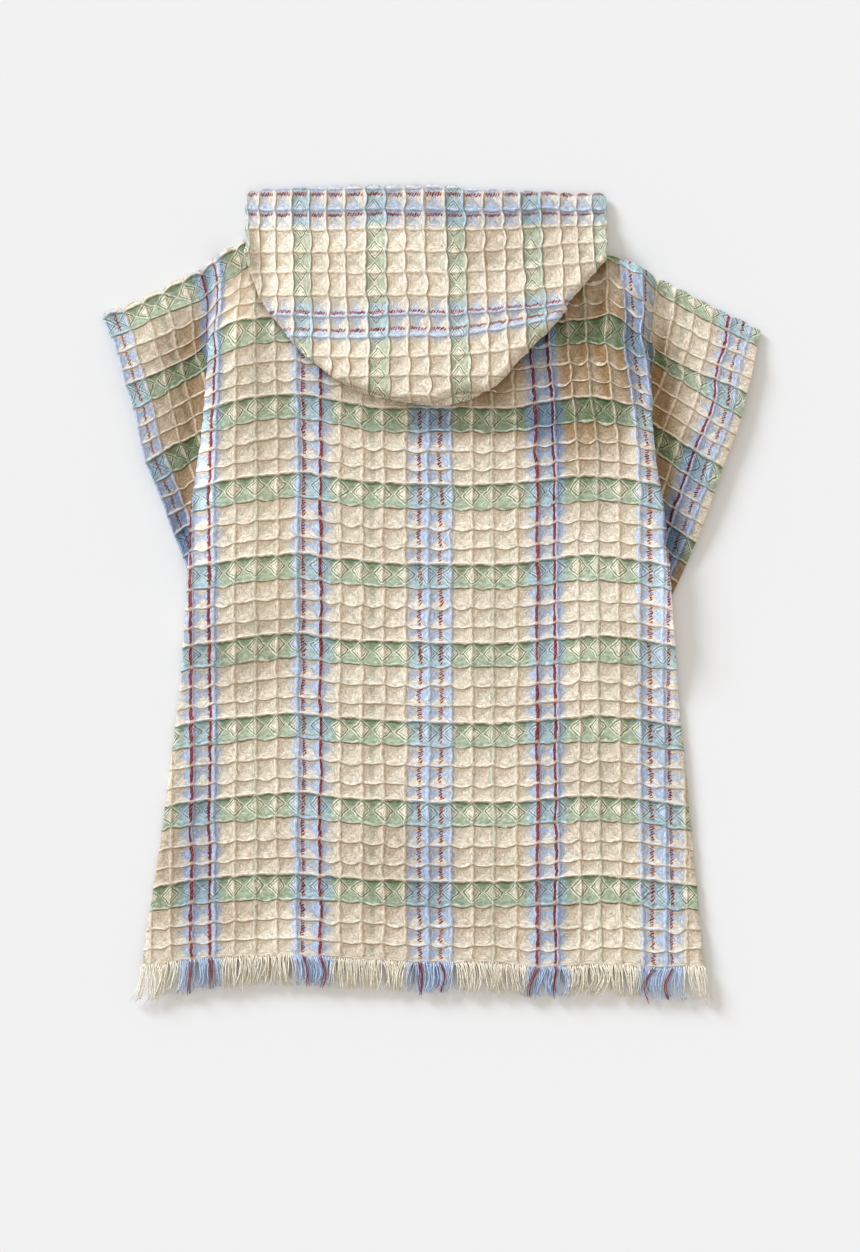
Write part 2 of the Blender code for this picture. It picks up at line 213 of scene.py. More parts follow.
def sag(x, v):
    left = x < 0
    edge = np.where(left, -section(v, 1), section(v, 2))
    depth = np.where(left, section(v, 3), section(v, 4))
    reach = 50 + 40 * np.clip(v / 200, 0, 1)
    power = 1.6 + 1.2 * (1 - smooth((v - 72) / 108))
    share = np.clip((np.abs(x) - (edge - reach)) / reach, 0, 1.15)
    return depth * share**power


def body_xy(w, v):
    high, low = np.interp(w, RIDGES, SHOULDER_X), np.interp(w, RIDGES, SKIRT_X)
    x = high + (low - high) * smooth((v - 30) / 170)
    x = x + 0.03 * np.maximum(x - 80, 0) * smooth((v - 300) / 250)
    return x, SHOULDER_Y - v - sag(x, v) + wave(x, v)


def warp_at(x, v):
    """The warp count at x on the row that lies v down."""
    ws = np.linspace(-14, 13, 541)
    return np.interp(x, body_xy(ws, v)[0], ws)


def stack(v):
    return 1 - smooth((v - ARMHOLE - 58) / 75)


def lift(x, v):
    """Share of the pleat's height that the back of the body has at x."""
    arm = np.clip(v, 0, ARMHOLE)
    deep = 7 + 31 * np.clip((arm - 50) / (ARMHOLE - 50), 0, 1)
    edge = np.where(x < 0, -section(arm, 1), section(arm, 2))
    width = 14 + 46 * np.clip(v / 150, 0, 1)
    return stack(v) * (1 - smooth((edge - deep * 0.924 - 3 - np.abs(x)) / width))


def back_z(x, v):
    return level(2) + 4 * PITCH * lift(x, v)


def drop_near(x, y):
    v = SHOULDER_Y - y
    for _ in range(6):
        v = SHOULDER_Y - y - sag(x, np.clip(v, 0, 566)) + wave(x, np.clip(v, 0, 566))
    return v


def highest_back(x, y, reach):
    best = np.full(np.shape(x), -1e9)
    for dx in (-reach, 0, reach):
        for dy in (-reach, 0, reach):
            best = np.maximum(best, back_z(x + dx, np.clip(drop_near(x + dx, y + dy), 0, 566)))
    return best


def cuff_at(side, t):
    rows = np.array(LEFT_CUFF if side < 0 else RIGHT_CUFF, float)
    x, y = through(rows[:, 0], rows[:, 1], t), through(rows[:, 0], rows[:, 2], t)
    return np.array([(x - NET_MIDDLE[0]) * NET_SCALE, (NET_MIDDLE[1] - y) * NET_SCALE])


def sleeve_z(x, v, t, side, back):
    """A sleeve drops into the crease beside the body, and its upper layer
    swells a little again towards the cuff."""
    edge = -section(v, 1) if side < 0 else section(v, 2)
    out = side * x - edge
    z = (level(4) if back else level(3)) - 2 * PITCH * smooth((out + 1) / 10)
    if back:
        z = z + 3.0 * smooth((out - 4) / 46) * smooth((t - 0.2) / 2.2) * smooth((15.5 - t) / 3)
    return z


def bent_row(side, t, back):
    """(w, x, y, z) from the body's middle to the cuff of one lower row."""
    v = float(drop_of(t))
    arm = min(v, ARMHOLE)
    edge_x = float(section(v, 1) if side < 0 else section(v, 2))
    edge_y = SHOULDER_Y - v - float(sag(edge_x, v)) + float(wave(edge_x, v))
    inward = np.array([-side, 0.0])
    fold = np.array([edge_x, edge_y]) + inward * BEND_OUT
    ws = side * np.arange(0, 14, 0.25)
    xs, ys = body_xy(ws, v)
    keep = side * xs < side * fold[0] - 1.0
    ws, xs, ys = ws[keep], xs[keep], ys[keep]
    zs = back_z(xs, v) if back else np.full(len(xs), level(1))
    rows = [np.stack([ws, xs, ys, zs], 1)]
    w0 = float(warp_at(fold[0], v))
    high = float(back_z(np.array(fold[0]), v)) if back else level(1)
    turn = -1 if back else 1
    angles = np.linspace(0, math.pi, 7)
    centre = high + turn * BEND
    rows.append(
        np.stack(
            [
                w0 + side * 0.25 * angles / math.pi,
                fold[0] - inward[0] * BEND * np.sin(angles),
                fold[1] + 0 * angles,
                centre - turn * BEND * np.cos(angles),
            ],
            1,
        )
    )
    if v > ARMHOLE + 4:
        # Below the underarm the back's side comes down to the front's.
        if back:
            rows[-1] = rows[-1][:4]
            low = level(1) + BEND
            drop = max(centre - low, 0.0)
            x, y = fold[0] - inward[0] * BEND, fold[1]
            w = w0 + side * 0.125
            for s in (0.35, 0.7, 1.0):
                rows.append([[w + side * drop * s / 17.0 + side * 1e-4, x, y, centre - drop * s]])
            end = w + side * (drop / 17.0 + 0.01)
            rows.append([[end + side * 3, x, y, low - 3 * 17.0]])
        return np.concatenate([np.asarray(r, float) for r in rows])
    deep = float(table(PLEAT[side], v))
    inside = np.array([edge_x, edge_y]) + deep * np.array([-side * 0.924, -0.382])
    notch = inside - inward * BEND_OUT
    cuff = cuff_at(side, t)
    far = float(np.hypot(*(cuff - notch)))
    w_in = CUFF_W[side] - side * far / SLEEVE_CELL
    w_out = w0 + side * 0.25
    if side * (w_in - w_out) < 0.45:
        w_in = w_out + side * 0.45
    first = level(4) if back else level(3)
    centre = first - turn * BEND
    under = high + 2 * turn * BEND
    w_bend = w_in - side * 0.25
    for s in (0.3, 0.6):
        xy = fold + (notch - fold) * s
        z = under + (centre - turn * BEND - under) * s
        rows.append([[w_out + (w_bend - w_out) * s, xy[0], xy[1], z]])
    rows.append(
        np.stack(
            [
                w_bend + side * 0.25 * angles / math.pi,
                notch[0] + inward[0] * BEND * np.sin(angles),
                notch[1] + 0 * angles,
                centre - turn * BEND * np.cos(angles),
            ],
            1,
        )
    )
    s = np.linspace(0, 1, 14)[1:]
    xy = notch[None] + (cuff - notch)[None] * s[:, None]
    z = sleeve_z(xy[:, 0], arm, t, side, back)
    rows.append(
        np.stack([w_in + (CUFF_W[side] - w_in) * s, xy[:, 0], xy[:, 1], z], 1)
    )
    return np.concatenate([np.asarray(r, float) for r in rows])


def net_row(side, t, back):
    """(w, x, y, z) of one of the upper rows, where the cloth bends smoothly."""
    net = np.array(LEFT_NET if side < 0 else RIGHT_NET, float)
    ws = np.array(LEFT_W if side < 0 else RIGHT_W, float)
    v = float(drop_of(t))
    spots = np.clip(t, -0.6, 4.6)
    xy = np.zeros((len(ws), 2))
    for k in range(len(ws)):
        for c in range(2):
            if spots < 0 or spots > 4:
                a, b = (0, 1) if spots < 0 else (3, 4)
                xy[k, c] = net[a, k, c] + (net[b, k, c] - net[a, k, c]) * (spots - a)
            else:
                xy[k, c] = through(range(5), net[:, k, c], spots)
    xy[:, 0] = (xy[:, 0] - NET_MIDDLE[0]) * NET_SCALE
    xy[:, 1] = (NET_MIDDLE[1] - xy[:, 1]) * NET_SCALE
    inner = side * np.arange(0, 8.01, 0.5)
    xi, yi = body_xy(inner, v)
    w = np.concatenate([inner, ws])
    x, y = np.concatenate([xi, xy[:, 0]]), np.concatenate([yi, xy[:, 1]])
    fine = np.concatenate([np.arange(0, 8, 0.5), np.arange(8, abs(ws[-1]), 0.125), [abs(ws[-1])]])
    xf = through(np.abs(w), x, fine)
    yf = through(np.abs(w), y, fine)
    v_in = np.clip(v, 0, 566)
    edge = float(-section(v_in, 1) if side < 0 else section(v_in, 2))
    body = back_z(xf, v_in) if back else np.full(len(xf), level(1))
    arm = sleeve_z(np.where(side * xf > edge, xf, side * edge), v_in, t, side, back)
    if not back:
        arm = np.full(len(xf), level(1))
    else:
        arm = np.where(side * xf > edge + 9, arm, np.minimum(arm, level(2) + 0.4))
    out = side * xf - edge
    share = smooth((out + 10) / 10.5) if side < 0 else smooth((out + 13) / 15)
    z = body + (arm - body) * share
    return np.stack([side * fine, xf, yf, z], 1)


def row_points(t, ws, back):
    """Middle of the cloth along one row at the warp counts ws, and which way
    the row runs there."""
    out, run = np.zeros((len(ws), 3)), np.zeros((len(ws), 3))
    for side in (-1, 1):
        mine = ws < 0 if side < 0 else ws >= 0
        at = np.abs(ws[mine])
        near, found = smooth((t - 4.0) / 0.9), None
        for share, maker in ((1 - near, net_row), (near, bent_row)):
            if share < 1e-4:
                continue
            row = maker(side, t, back)
            keys = np.abs(row[:, 0])
            order = np.argsort(keys, kind="stable")
            keys, row = keys[order], row[order]
            step = 0.02
            pos = np.stack([np.interp(at, keys, row[:, c]) for c in (1, 2, 3)], 1)
            ahead = np.stack([np.interp(at + step, keys, row[:, c]) for c in (1, 2, 3)], 1)
            behind = np.stack([np.interp(at - step, keys, row[:, c]) for c in (1, 2, 3)], 1)
            both = np.concatenate([pos, side * (ahead - behind)], 1) * share
            found = both if found is None else found + both
        out[mine], run[mine] = found[:, :3], found[:, 3:]
    return out, run


# ---------------------------------------------------------------- meshes
def noise_field(shape, cell, seed):
    """Smooth noise on a grid, cell samples to a bump."""
    r = np.random.default_rng(seed)
    rows, cols = int(shape[0] / cell) + 3, int(shape[1] / cell) + 3
    coarse = r.uniform(-1, 1, (rows, cols))
    y, x = np.arange(shape[0]) / cell, np.arange(shape[1]) / cell
    yi, xi = y.astype(int), x.astype(int)
    fy, fx = smooth(y - yi)[:, None], smooth(x - xi)[None]
    a, b = coarse[np.ix_(yi, xi)], coarse[np.ix_(yi, xi + 1)]
    c, d = coarse[np.ix_(yi + 1, xi)], coarse[np.ix_(yi + 1, xi + 1)]
    return (a * (1 - fx) + b * fx) * (1 - fy) + (c * (1 - fx) + d * fx) * fy


def cell_noise(w, t, seed):
    """One number from -1 to 1 for each cell of the waffle."""
    a = np.sin((np.floor(w) * 127.1 + np.floor(t) * 311.7 + seed * 74.7)) * 43758.5453
    return 2 * (a - np.floor(a)) - 1


STEPS = {
    4: [0, 0.16, 0.5, 0.84],
    8: [0, 0.07, 0.18, 0.33, 0.5, 0.67, 0.82, 0.93],
    12: [0, 0.045, 0.1, 0.18, 0.28, 0.39, 0.5, 0.61, 0.72, 0.82, 0.9, 0.955],
}


def ladder(low, high, per):
    """Counts from low to high, closest together at the ridges."""
    whole = np.arange(math.floor(low), math.ceil(high) + 1)
    at = (whole[:, None] + np.array(STEPS[per])[None]).ravel()
    return at[(at >= low - 1e-9) & (at <= high + 1e-9)]


def waffle(w, t, vertical=0.9, level_one=1.0):
    """Height of the waffle from 0 in the middle of a cell to 1 where ridges
    cross: flanks like an upturned pyramid, and a cord along each ridge."""
    a = np.abs(2 * (w - np.floor(w)) - 1)
    b = np.abs(2 * (t - np.floor(t)) - 1)
    k = 13.0
    flank = np.log(np.exp(k * a**1.08) + np.exp(k * b**1.08)) / k - np.log(2) / k
    cord_w = vertical * np.exp(-(((1 - a) / 0.12) ** 2)) * (0.75 + 0.25 * b**2)
    cord_t = level_one * np.exp(-(((1 - b) / 0.12) ** 2)) * (0.75 + 0.25 * a**2)
    return 0.88 * flank + 0.12 * np.maximum(cord_w, cord_t)


def cloth_shell(name, P, N, inside, weave, thread, up, down, fine, macro, materials, extra=None, deep=None):
    """A closed shell of cloth. P and N are the middle of the cloth and its
    outward normal on a grid, inside is positive where there is cloth, up and
    down are how far its face and back lie from the middle. The back has one
    polygon for macro by macro squares except where fine says otherwise."""
    R, C = inside.shape
    face = P + N * up[..., None]
    back = P - N * down[..., None]
    face[..., 2] = np.maximum(face[..., 2], 0.3)
    back[..., 2] = np.maximum(back[..., 2], 0.0)
    values = np.concatenate([weave, thread], 2)
    # extra goes to the weave attribute's third value, and deep, the painted shade and painted light, to the thread
    # attribute's third value.
    for more in (extra, deep):
        more = np.zeros((R, C)) if more is None else more
        values = np.concatenate([values, more[..., None]], 2)
    inn = inside > 0
    vid, made = -np.ones((R, C), int), []
    keep = inn
    vid[keep] = np.arange(keep.sum())
    count = int(keep.sum())
    pf, pb, pv = [face[keep]], [back[keep]], [values[keep]]
    full = inn[:-1, :-1] & inn[1:, :-1] & inn[:-1, 1:] & inn[1:, 1:]
    some = (inn[:-1, :-1] | inn[1:, :-1] | inn[:-1, 1:] | inn[1:, 1:]) & ~full
    a, b, c, d = vid[:-1, :-1], vid[1:, :-1], vid[1:, 1:], vid[:-1, 1:]
    quads = np.stack([a[full], b[full], c[full], d[full]], 1)
    cut, lone_f, lone_b, lone_v, polys = {}, [], [], [], []

    def crossing(r0, c0, r1, c1):
        nonlocal count
        key = (r0, c0, r1, c1) if (r0, c0) < (r1, c1) else (r1, c1, r0, c0)
        if key not in cut:
            f0, f1 = inside[key[0], key[1]], inside[key[2], key[3]]
            s = f0 / (f0 - f1)
            s = min(max(s, 0.02), 0.98)
            for store, grid in ((lone_f, face), (lone_b, back), (lone_v, values)):
                store.append(grid[key[0], key[1]] * (1 - s) + grid[key[2], key[3]] * s)
            cut[key] = count
            count += 1
        return cut[key]

    for r, cc in zip(*np.nonzero(some)):
        ring = [(r, cc), (r + 1, cc), (r + 1, cc + 1), (r, cc + 1)]
        poly = []
        for k in range(4):
            p, q = ring[k], ring[(k + 1) % 4]
            if inn[p]:
                poly.append(int(vid[p]))
            if inn[p] != inn[q]:
                poly.append(crossing(*p, *q))
        if len(poly) >= 3:
            polys.append(poly)
    if lone_f:
        pf.append(np.array(lone_f))
        pb.append(np.array(lone_b))
        pv.append(np.array(lone_v))
    pf, pb, pv = np.concatenate(pf), np.concatenate(pb), np.concatenate(pv)
    # The back, with big polygons wherever it can.
    MR, MC = (R - 1) // macro, (C - 1) // macro
    blocks = full[: MR * macro, : MC * macro].reshape(MR, macro, MC, macro)
    flags = fine[: MR * macro, : MC * macro].reshape(MR, macro, MC, macro)
    big = blocks.all((1, 3)) & ~flags.any((1, 3))
    small = full.copy()
    small[: MR * macro, : MC * macro] &= ~np.repeat(np.repeat(big, macro, 0), macro, 1)
    back_polys = [q[::-1] for q in polys]
    back_polys += np.stack([d[small], c[small], b[small], a[small]], 1).tolist()
    for i, j in zip(*np.nonzero(big)):
        r, cc, m = i * macro, j * macro, macro

        def near(di, dj):
            y, x = i + di, j + dj
            return 0 <= y < MR and 0 <= x < MC and big[y, x]

        path = []
        sides = [
            (near(0, -1), [(r + k, cc) for k in range(m)]),
            (near(1, 0), [(r + m, cc + k) for k in range(m)]),
            (near(0, 1), [(r + m - k, cc + m) for k in range(m)]),
            (near(-1, 0), [(r, cc + m - k) for k in range(m)]),
        ]
        for plain, spots in sides:
            path += [vid[s] for s in (spots[:1] if plain else spots)]
        back_polys.append([int(x) for x in path[::-1]])
    used = np.unique(np.concatenate([np.ravel(p) for p in back_polys]).astype(int))
    # The rim joins every open side of the face to the back.
    edges = {}
    for poly in list(polys) + quads.tolist():
        n = len(poly)
        for k in range(n):
            p, q = poly[k], poly[(k + 1) % n]
            if (q, p) in edges:
                del edges[q, p]
            else:
                edges[p, q] = True
    remap = -np.ones(count, int)
    remap[used] = count + np.arange(len(used))
    faces = quads.tolist() + polys
    faces += [[int(remap[v]) for v in p] for p in back_polys]
    faces += [[int(remap[p]), int(remap[q]), q, p] for p, q in edges]
    points = np.concatenate([pf, pb[used]])
    data = np.concatenate([pv, pv[used]])
    mesh = bpy.data.meshes.new(name)
    mesh.from_pydata((points * MM).tolist(), [], faces)
    mesh.update()
    for label, start in (("weave", 0), ("thread", 2)):
        layer = mesh.attributes.new(label, "FLOAT_VECTOR", "POINT")
        flat = np.zeros((len(points), 3), np.float32)
        flat[:, :2] = data[:, start : start + 2]
        flat[:, 2] = data[:, 4 if label == "weave" else 5]
        layer.data.foreach_set("vector", flat.ravel())
    for m in materials:
        mesh.materials.append(m)
    mesh.shade_smooth()
    mesh.set_sharp_from_angle(angle=math.radians(58))
    obj = bpy.data.objects.new(name, mesh)
    bpy.context.scene.collection.objects.link(obj)
    tris = sum(len(f) - 2 for f in faces)
    area = float(sum(p.area for p in mesh.polygons)) / 2
    print(f"{name}: {tris} triangles, {area:.4f} m2")
    return obj


# ---------------------------------------------------------------- stripes
# Warp stripes: the warp counts of each group's two red lines, and of the
# single sage line that follows it.
LINES = [(-21.5, -20.7, -18.7), (-16.2, -15.5, -13.35), (-11.05, -10.2, -8.05)]
LINES += [(-5.7, -5.0, -2.5), (-0.37, 0.55, 2.95), (4.96, 5.9, 8.0)]
LINES += [(10.45, 11.3, 13.6), (15.88, 16.65, 18.9)]
SECOND, SINGLE = 0.1626, 0.6


def stripe_of(w):
    """Counts the stripe groups along the warp, 0 at the first red line of
    the middle one."""
    at = [c for row in LINES for c in row]
    count = [k - 4 + d for k in range(len(LINES)) for d in (0, SECOND, SINGLE)]
    return np.interp(w, at, count)


def normals(P, run, ts, side_fold):
    """Outward normals from the rows' own direction and the way down them."""
    down = np.gradient(P, ts, axis=0)
    down[..., 2] *= 1 - side_fold
    n = np.cross(down, run)
    n /= np.maximum(np.linalg.norm(n, axis=2, keepdims=True), 1e-9)
    return n


# Painted shade: soft darker patches painted into the cloth's colour where it is creased or close under the hood, and
# lighter patches of painted light (below 0): centre, reach across and down, how deep.
SHADE = [(138, 200, 44, 58, 1.0), (112, 150, 52, 54, 0.95), (160, 140, 34, 60, 0.15)]
SHADE += [(30, 138, 96, 18, 0.8), (-70, 160, 30, 22, 0.30), (112, 84, 30, 40, 0.35)]
SHADE += [(-168, 240, 22, 26, 0.5), (-196, -215, 44, 62, 0.42), (-24, -210, 46, 52, 0.30)]
SHADE += [(96, -250, 26, 30, 0.34), (40, -228, 60, 40, 0.16), (-100, -214, 60, 40, 0.14)]
SHADE += [(150, -130, 80, 120, 0.08), (96, 10, 18, 70, 0.16), (96, -110, 18, 60, 0.12)]
SHADE += [(-122, 50, 34, 80, -0.50), (194, -12, 26, 90, -1.35), (30, 48, 40, 26, -0.2)]
SHADE += [(-150, 232, 16, 40, -0.9), (166, 176, 18, 72, -0.22), (-180, 110, 16, 50, -0.5)]
SHADE += [(-6, -60, 26, 130, -0.2), (30, 165, 110, 30, -0.3), (120, -70, 30, 50, -0.2)]
SHADE += [(-120, -268, 34, 22, -0.35), (142, -268, 34, 24, -0.25), (158, 20, 24, 80, -0.15)]
SHADE += [(-152, 250, 18, 30, -0.5), (250, 175, 20, 50, -0.4), (190, 114, 20, 40, 0.6), (164, 110, 12, 40, -0.3)]
SHADE += [(-180, 70, 16, 60, -0.45), (-150, -255, 24, 20, 0.3), (100, 172, 24, 16, 0.35), (79, 144, 18, 14, 0.3)]
SHADE += [(-20, -252, 230, 28, 0.14), (236, 150, 30, 60, -0.35), (79, -252, 18, 18, -0.25), (-179, 144, 14, 24, -0.3)]
SHADE += [(-181, 80, 18, 75, -0.5), (-150, 225, 16, 60, -0.6), (-180, -145, 20, 40, 0.25)]
SHADE_ARM = [(197, 100, 20, 46, 0.70), (250, 160, 16, 60, -0.4)]
SHADE_HOOD = [(36, 268, 34, 20, 0.35), (50, 290, 60, 26, 0.15), (40, 297, 110, 16, 0.25), (62, 284, 70, 34, 0.22), (-120, 262, 16, 60, -0.5), (110, 215, 30, 30, -0.4), (-30, 300, 60, 14, 0.2), (-76, 196, 40, 30, -0.3)]
SHADE_HOOD += [(-5, 240, 170, 90, -0.20), (-10, 190, 90, 30, -0.12), (-120, 250, 30, 60, 0.12), (100, 240, 40, 50, 0.14)]


def patches(x, y, rows):
    """Adds soft patches of painted shade, and of painted light where below 0, on and over each other."""
    out = np.zeros(x.shape)
    for cx, cy, rx, ry, much in rows:
        d = np.hypot((x - cx) / rx, (y - cy) / ry)
        share = much * smooth(1.3 - d)
        out = out + share * (1 - np.clip(out, 0, 1) if much > 0 else 1)
    return out


def body_panel(name, back, per, macro, material):
    ts, ws = ladder(-1.0, HEM_T + 0.76, per), ladder(-17, 18, per)
    R, C = len(ts), len(ws)
    P, run = np.zeros((R, C, 3)), np.zeros((R, C, 3))
    for r, t in enumerate(ts):
        P[r], run[r] = row_points(float(t), ws, back)
    W, T = np.meshgrid(ws, ts)
    V = drop_of(T)
    # How near each point is to a fold, and whether it is out of sight there.
    fold, hidden = np.zeros((R, C)), np.zeros((R, C))
    top_limit = np.zeros((R, C))
    edge_w = np.zeros((R, 2))
    for r, t in enumerate(ts):
        v = float(drop_of(t))
        vc = min(max(v, 0.0), 566.0)
        for s, side in enumerate((-1, 1)):
            edge = float(section(vc, 1) if side < 0 else section(vc, 2))
            at = float(warp_at(edge - side * BEND_OUT, vc))
            edge_w[r, s] = abs(at)
            if v > ARMHOLE + 4:
                deep = back_z(np.array(edge), vc) - BEND - (level(1) + BEND) if back else 0
                edge_w[r, s] = abs(at) + 0.125 + max(float(deep), 0) / 17.0
                fold[r] = np.maximum(fold[r], 1 - smooth((np.abs(ws - at) - 0.5) / 0.3) if back else 0)
                continue
            if t > 4:
                cuff = cuff_at(side, t)
                deep = float(table(PLEAT[side], v))
                ey = SHOULDER_Y - v - float(sag(edge, v)) + float(wave(edge, v))
                inside = np.array([edge, ey]) + deep * np.array([-side * 0.924, -0.382])
                notch = inside + np.array([side * BEND_OUT, 0])
                w_in = CUFF_W[side] - side * float(np.hypot(*(cuff - notch))) / SLEEVE_CELL
                if side * (w_in - at) < 0.7:
                    w_in = at + side * 0.7
                near = np.maximum(
                    1 - smooth((np.abs(ws - at - side * 0.12) - 0.3) / 0.3),
                    1 - smooth((np.abs(ws - w_in + side * 0.12) - 0.3) / 0.3),
                )
                mine = (side * ws > 0).astype(float)
                fold[r] = np.maximum(fold[r], near * mine * smooth((t - 4.2) / 0.6))
                # The sleeve shows from where the body's edge lets it go.
                length = float(np.hypot(*(cuff - notch)))
                shown = abs(CUFF_W[side] - w_in) * (deep / max(length, 1)) * 0.95
                start = abs(w_in) + shown
                out = smooth((np.abs(ws) - abs(at) - 0.22) / 0.2) * (
                    1 - smooth((np.abs(ws) - start - 0.25) / 0.7)
                )
                hidden[r] = np.maximum(hidden[r], out * mine * smooth((t - 4.2) / 0.8))
    # The cut: shoulders, neckline, cuffs, underarms, sides and hem.
    if back:
        neck_v = 21.0 - sag(P[..., 0], np.full((R, C), 21.0))
    else:
        across = np.clip(np.abs(P[..., 0] + 3.45) / 140.45, 0, 1)
        neck_y = 223 + 37 * across**1.7
        neck_v = SHOULDER_Y - neck_y
    neck_t = count_of(neck_v)
    shoulder_t = np.where(
        W < 0, -0.1, np.interp(W, [8.5, 9.5, 11, 12, 13, 14, 17.6], [0.95, 0.88, 0.75, 0.55, 0.42, 0.3, 0.3])
    )
    in_neck = (P[..., 0] > -143.9) & (P[..., 0] < 137.0)
    top = T - np.where(in_neck, neck_t, shoulder_t)
    hem = HEM_T + 0.02 - T
    left_arm = np.minimum(ARM_T - T, W - CUFF_W[-1])
    right_arm = np.minimum(ARM_T - T, CUFF_W[1] - W)
    left = np.maximum(left_arm, W + edge_w[:, :1])
    right = np.maximum(right_arm, edge_w[:, 1:] - W)
    inside = np.minimum.reduce([top, hem, left, right])
    inside = np.where(np.abs(inside) < 1e-3, 1e-3, inside)
    if back:
        # The hem stands off the layer below here and there.
        wavy = 0.75 + 0.25 * np.sin(P[..., 0] / 23.0) * np.cos(P[..., 0] / 61.0 + 0.8)
        P[..., 2] += 3.4 * smooth((T - (HEM_T - 4.5)) / 4.5) * wavy
    N = normals(P, run, ts, np.maximum(fold, 0.0))
    if not back:
        N = -N
    # Sag of the weft ridges between crossings, bowed warp ridges, unevenness.
    a = 2 * (W - np.floor(W)) - 1
    b = 2 * (T - np.floor(T)) - 1
    row = np.mod(np.round(T), 4).astype(int)
    hang = np.array(ROW_SAG)[row] * (1 + 0.6 * cell_noise(W, T + 0.5, 1))
    if back:
        # Right of the hood the weft ridges hang in deep loops.
        loose = smooth((P[..., 0] - 70) / 40) * smooth((P[..., 1] - 95) / 60)
        hang = hang + 0.09 * loose * (1 + 0.8 * cell_noise(W, T, 31)) * (1 + 0.7 * a) * (np.abs(W) < 13.5)
        hang = np.clip(hang, -0.05, 0.30)
    seen = (1 - hidden) * (1 - 0.6 * fold)
    flat = np.ones((R, C))
    flat *= 1 - 0.75 * smooth((W - 16.75) / 0.3)
    flat *= 1 - 0.35 * smooth((-15.0 - W) / 0.4)
    flat *= 1 - smooth((T - (HEM_T - 0.75)) / 0.7)
    flat *= 1 - 0.5 * smooth((W + 15.2) / 0.5) * smooth((-11.5 - W) / 1.2) * smooth((T - 5) / 0.6) * smooth((8 - T) / 0.6)
    flat *= 1 - 0.35 * smooth((W - 11.8) / 0.8) * smooth((15.6 - W) / 0.8) * smooth((T - 5) / 0.6) * smooth((8 - T) / 0.6)
    if back:
        y_under = SHOULDER_Y - 0.0
        covered = smooth((P[..., 1] - hood_low(P[..., 0]) + 1.0) / 7) * (
            (P[..., 0] > -146) & (P[..., 0] < 139)
        )
        flat *= 1 - 0.72 * covered
    relief = flat * seen
    relief = relief * (1 - 0.28 * smooth((np.abs(W) - 10.9) / 0.6) * (V < ARMHOLE + 6))
    dt = hang * (1 - a**2) * np.abs(b) ** 3 * relief
    dt -= 0.16 * (1 - a**2) * np.exp(-np.maximum(top, 0) / 0.35) * (~in_neck)
    dw = 0.075 * cell_noise(W + 0.5, T, 2) * (1 - b**2) * np.abs(a) ** 3 * relief
    dt += 0.055 * noise_field((R, C), per * 1.25, 11) * seen
    dw += 0.050 * noise_field((R, C), per * 1.25, 12) * seen
    along = np.gradient(P, ts, axis=0)
    across_ = run / 0.04
    P = P + along * dt[..., None] + across_ * dw[..., None] * (1 - fold[..., None])
    high = waffle(W, T)
    uneven = 1 + 0.18 * noise_field((R, C), per * 1.3, 13) + 0.10 * cell_noise(W, T, 5)
    uneven = uneven * np.where(np.mod(np.floor(T), 4) == 0, 1.15, 0.85)
    if back:
        up = 0.25 + 1.86 * high * relief * uneven
        up = up + 2.0 * loose * (np.abs(a) ** 3 - 0.2) * relief * (np.abs(W) < 13.5)
        up = np.where(hidden > 0.5, np.minimum(up, 1.0), up)
        drift = 0.45 * noise_field((R, C), per * 3.1, 14) * seen
        up = up + drift * relief
        down = np.full((R, C), 1.05)
    else:
        up = 0.35 + 0.8 * high * relief
        down = np.full((R, C), 1.1)
    rim = smooth(np.maximum(inside, 0) / 0.13)
    up = 0.15 + (up - 0.15) * (0.35 + 0.65 * rim)
    weave = np.stack([W, T], 2)
    thread = np.stack([stripe_of(W), np.minimum(T, 35.95)], 2)
    marks = (fold > 0.05) | (hidden > 0.3)
    fine = marks[:-1, :-1] | marks[1:, 1:]
    # Painted shade, the deep value: the sleeves beside the body's folds and the body just below the hood are painted
    # darker, where the folds and the hood cast shade.
    deep = np.zeros((R, C))
    if back:
        vc = np.clip(V, 0, ARMHOLE)
        for side, most, reach in ((-1, 0.95, 62.0), (1, 1.06, 41.0)):
            edge = -section(vc, 1) if side < 0 else section(vc, 2)
            out = side * P[..., 0] - edge
            near = most * smooth(1 - (out - 2) / reach) * smooth((out + 9) / 8)
            on_sleeve = smooth((np.abs(W) - 10.7) / 0.6) * (V < ARMHOLE + 6)
            start, grow = (0.3, 2.5) if side < 0 else (0.8, 4.5)
            deep = np.maximum(deep, near * on_sleeve * smooth((T - start) / grow))
        below = hood_low(P[..., 0]) - P[..., 1]
        span = (P[..., 0] > -142) & (P[..., 0] < 145)
        reach = 14 + 44 * smooth((P[..., 0] + 40) / 150) * smooth((150 - P[..., 0]) / 40)
        shade = (0.5 + 0.5 * smooth((P[..., 0] + 60) / 90)) * smooth(1 - (below + 2) / reach)
        deep = np.maximum(deep, shade * span)
        on_body = np.abs(W) < np.where(V < ARMHOLE, 13.2, 30)
        # More painted shade from SHADE, and painted light where it is below 0.
        more = patches(P[..., 0], P[..., 1], SHADE) * on_body
        deep = np.where(more > 0, np.maximum(deep, more), np.where(deep > 0.05, deep, more))
        # There each loose column is lit on one flank and shaded on the other.
        tilt = (0.55 + 0.45 * cell_noise(W, T * 0.25, 41)) * loose * on_body * (np.abs(W) < 13.2)
        deep = np.where(deep > 0.2, deep + 0.34 * tilt * np.clip(1.4 * a, -1.0, 1.0), deep)
        on_arm = (np.abs(W) > 10.7) & (V < ARMHOLE + 6)
        # Painted shade on the right sleeve and painted light at its cuff, from SHADE_ARM.
        more = patches(P[..., 0], P[..., 1], SHADE_ARM) * on_arm
        deep = np.where(more > 0, np.maximum(deep, more), deep + more)
        deep = np.minimum(deep, 1.12)
    edge_mm = np.maximum(inside, 0)
    return cloth_shell(
        name, P, N, inside, weave, thread, up, down, fine, macro, [material], edge_mm, deep
    )


